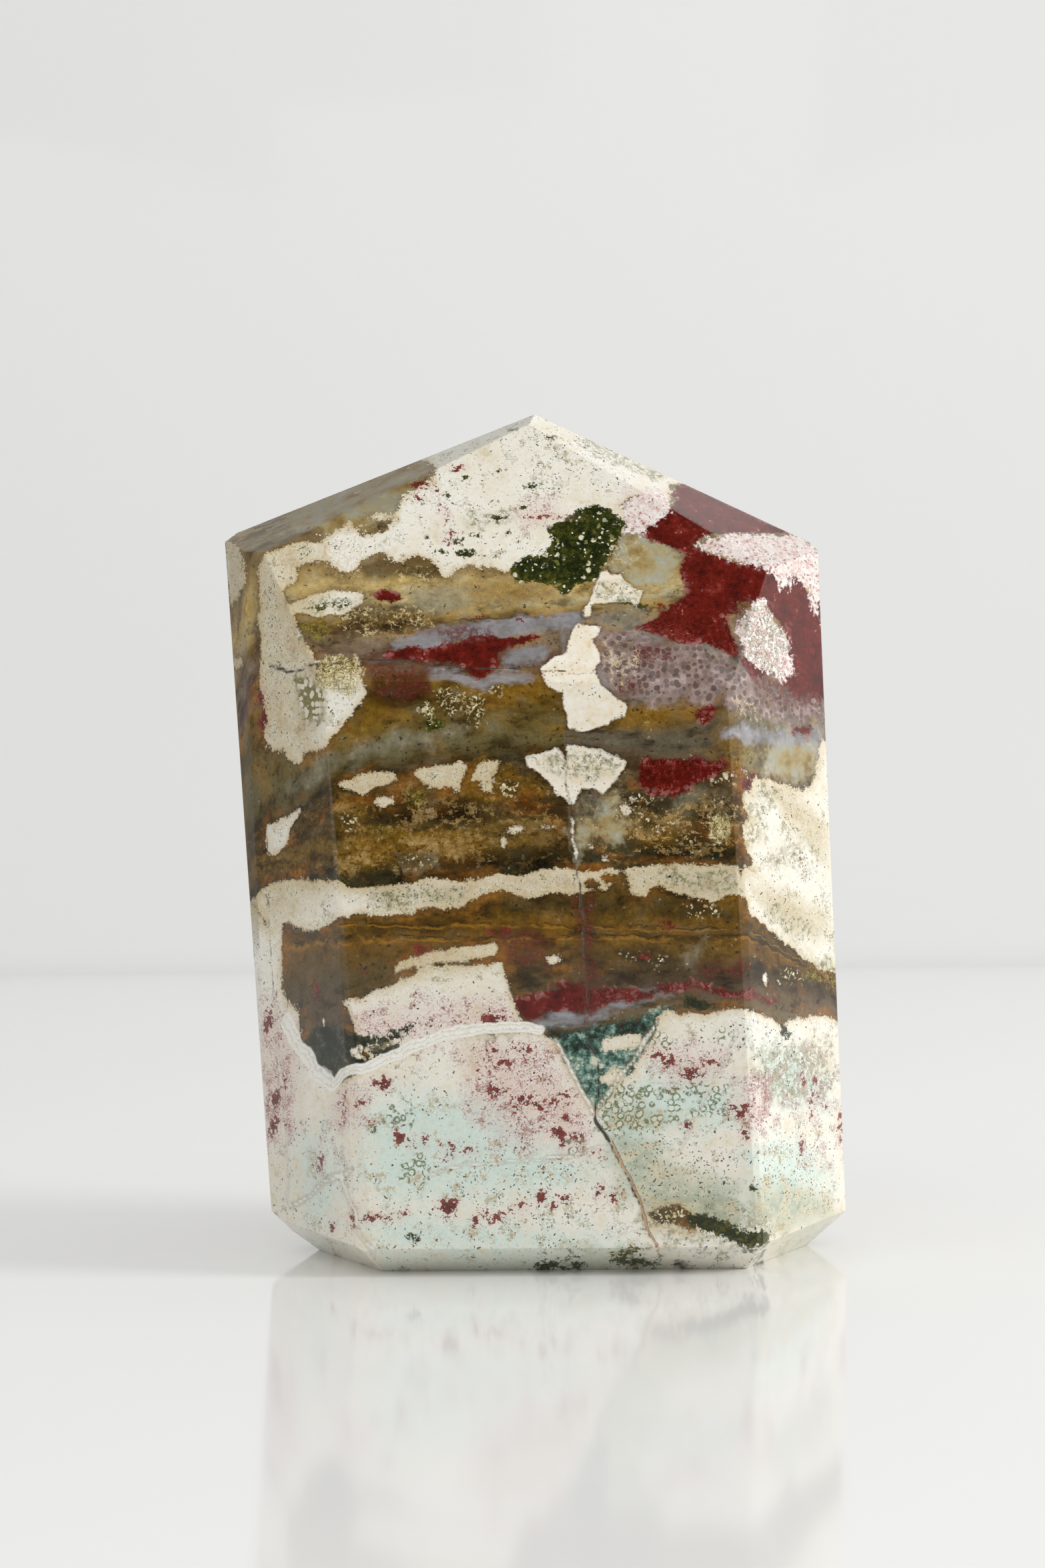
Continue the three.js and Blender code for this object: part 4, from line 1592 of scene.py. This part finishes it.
# %% Druse, rings and white chips
in_druse = frayed(druse, middling * 6 + fine * 6, 4)
colour = lay(
    colour, in_druse * 0.8, (76, 62, 22), (146, 128, 66), (206, 194, 144), (244, 238, 208),
    by=fine * 0.7 + sandy * 1.1,
)
star_net = (honey + sandy * 0.03).between(0.1, 0.03) * (fine * 0.8 + middling * 0.6).between(-0.1, 0.4)
colour = lay(colour, star_net * in_rings * (1.0 - in_cream) * 0.85, (216, 198, 150))
in_white = frayed(white, fine * 2 + sandy, 1.5)
outline = frayed(white, fine * 2 + sandy + 3.0, 2)
colour = lay(colour, outline * 0.5, (120, 84, 44), style="MULTIPLY")
colour = lay(
    colour, in_white, (220, 194, 150), (236, 224, 200), (242, 236, 222), (246, 242, 234),
    by=middling * 0.6 + fine * 0.5,
)
colour = lay(
    colour, in_white * in_green * (fine + sandy * 0.6).between(-0.5, 0.7) * 0.85, (54, 58, 22),
    (108, 106, 52), (162, 154, 102), by=sandy,
)
colour = lay(colour, in_white * grit * 0.8, (92, 72, 44))
tell("druse and white chips")

# %% [markdown]
# The youngest things. Spots and cells lie in the finished stone, and seams and the crack cut through
# all of it, so they come last. The crack's core is nearly black, and its filling is tan and only on
# the far side, from the open part down to the foot.

# %% Cells and maroon spots
cell_net = shop.add(
    "ShaderNodeTexVoronoi", {"feature": "F1"}, {"Vector": less_crooked, "Scale": 1.05, "Randomness": 0.9},
)
in_cells = frayed(cells, fine * 10 + middling * 8, 4)
outer_rim = (cell_net + fine * 0.05).between(0.6, 0.52)
rims = (cell_net + sandy * 0.03).between(0.33, 0.4) * outer_rim * in_cells
colour = lay(colour, (cell_net + sandy * 0.03).between(0.4, 0.3) * in_cells * 0.3, (228, 232, 220))
colour = lay(
    colour, rims * (fine * 0.9 + sandy * 0.4 + 0.45).between(0, 0.5) * 0.9, (44, 60, 26), (84, 100, 58),
    (128, 140, 104), by=fine,
)
in_maroon = frayed(maroon, fine * 9.0 + sandy * 4.0 - 1.2, 0.9)
halo = frayed(maroon, fine * 3.5 + 5.0, 6) * in_cream
colour = lay(colour, halo * 0.2, (210, 170, 160))
colour = lay(colour, halo * tiny_in * (tiny_luck - 0.55).between(0, 0.1) * 0.85, (112, 44, 44))
colour = lay(
    colour, in_maroon * 0.97, (26, 16, 16), (78, 20, 16), (112, 34, 28), (140, 70, 60),
    by=fine + sandy * 0.6,
)
tell("cells and spots")

# %% Seams and the crack
STAIN_BEGINS = (1690, 1715)
seam_line = (seam_plain - seam_width + fine * 0.8).between(1.2, -1.2)
seam_rim = (seam_plain - seam_width * 2.4 + fine * 1.5).between(2.0, -2.0) * seam_width.between(6, 3)
colour = lay(colour, seam_rim * 0.35, (150, 126, 96))
colour = lay(
    colour, seam_line * 0.93, (226, 220, 206), (242, 240, 232), (250, 249, 246),
    by=fine * 0.7 + sandy * 0.5,
)
inner = abs(abs(seam_signed + fine * 3.0) - 3.4).between(1.2, 0.4) * seam_width.between(5, 6)
colour = lay(colour, inner * 0.4, (178, 170, 140))
lane = crack_signed + fine * 1.1
middle_crack = crack_width.between(0.9, 0.98) * crack_width.between(1.28, 1.24)
stained_length = middle_crack * level.between(*STAIN_BEGINS)
stained = lane.between(0.2, 0.8) * lane.between(4.9, 4.2) * stained_length
colour = lay(
    colour, stained * 0.9, (138, 98, 66), (190, 150, 112), (214, 184, 148), by=fine * 0.6 + sandy * 0.5,
)
far_lip = abs(lane - 5.1).between(1.0, 0.3) * stained_length
colour = lay(colour, far_lip * 0.7, (84, 72, 50))
crack_edge = (crack_plain - crack_width * 1.4 + fine * 1.2).between(1.8, -1.8)
crack_core = (crack_plain - crack_width + fine * 0.6).between(0.7, -0.7)
colour = lay(colour, crack_edge * 0.3, (104, 86, 62))
colour = lay(colour, crack_core * 0.92, (34, 30, 25))
tell("seams and crack")

# %% [markdown]
# The polish. A tumbled stone is dull, but this one is polished on a flat wheel and mirrors the room.
# The crack and the crystals take the polish badly, so they are rougher there and dented a little in
# the finish only. The dents are smaller than anything that the solid shows.

# %% Gloss and relief
STONE_IOR = 1.54
POLISH_ROUGHNESS = 0.09
DENT_DEPTH = 0.0002
DENT_STRENGTH = 0.5
gloss = sandy.between(0, 1) * 0.03 + POLISH_ROUGHNESS + crack_core * 0.5 + in_druse * 0.12
dents = (0.0 - crack_core) - in_druse * fine * 0.3
bumped = shop.add(
    "ShaderNodeBump", None, {"Strength": DENT_STRENGTH, "Distance": DENT_DEPTH, "Height": dents},
)
polish = shop.add(
    "ShaderNodeBsdfPrincipled", None,
    {"Base Color": colour, "Roughness": gloss, "IOR": STONE_IOR, "Normal": bumped},
)
shop.add("ShaderNodeOutputMaterial", None, {"Surface": polish})
stone_mesh.materials.append(jasper)
tell("gloss and relief")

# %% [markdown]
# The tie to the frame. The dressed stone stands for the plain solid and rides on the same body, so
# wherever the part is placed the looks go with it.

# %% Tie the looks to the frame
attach(stone, "root")
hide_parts("jasper_tower")
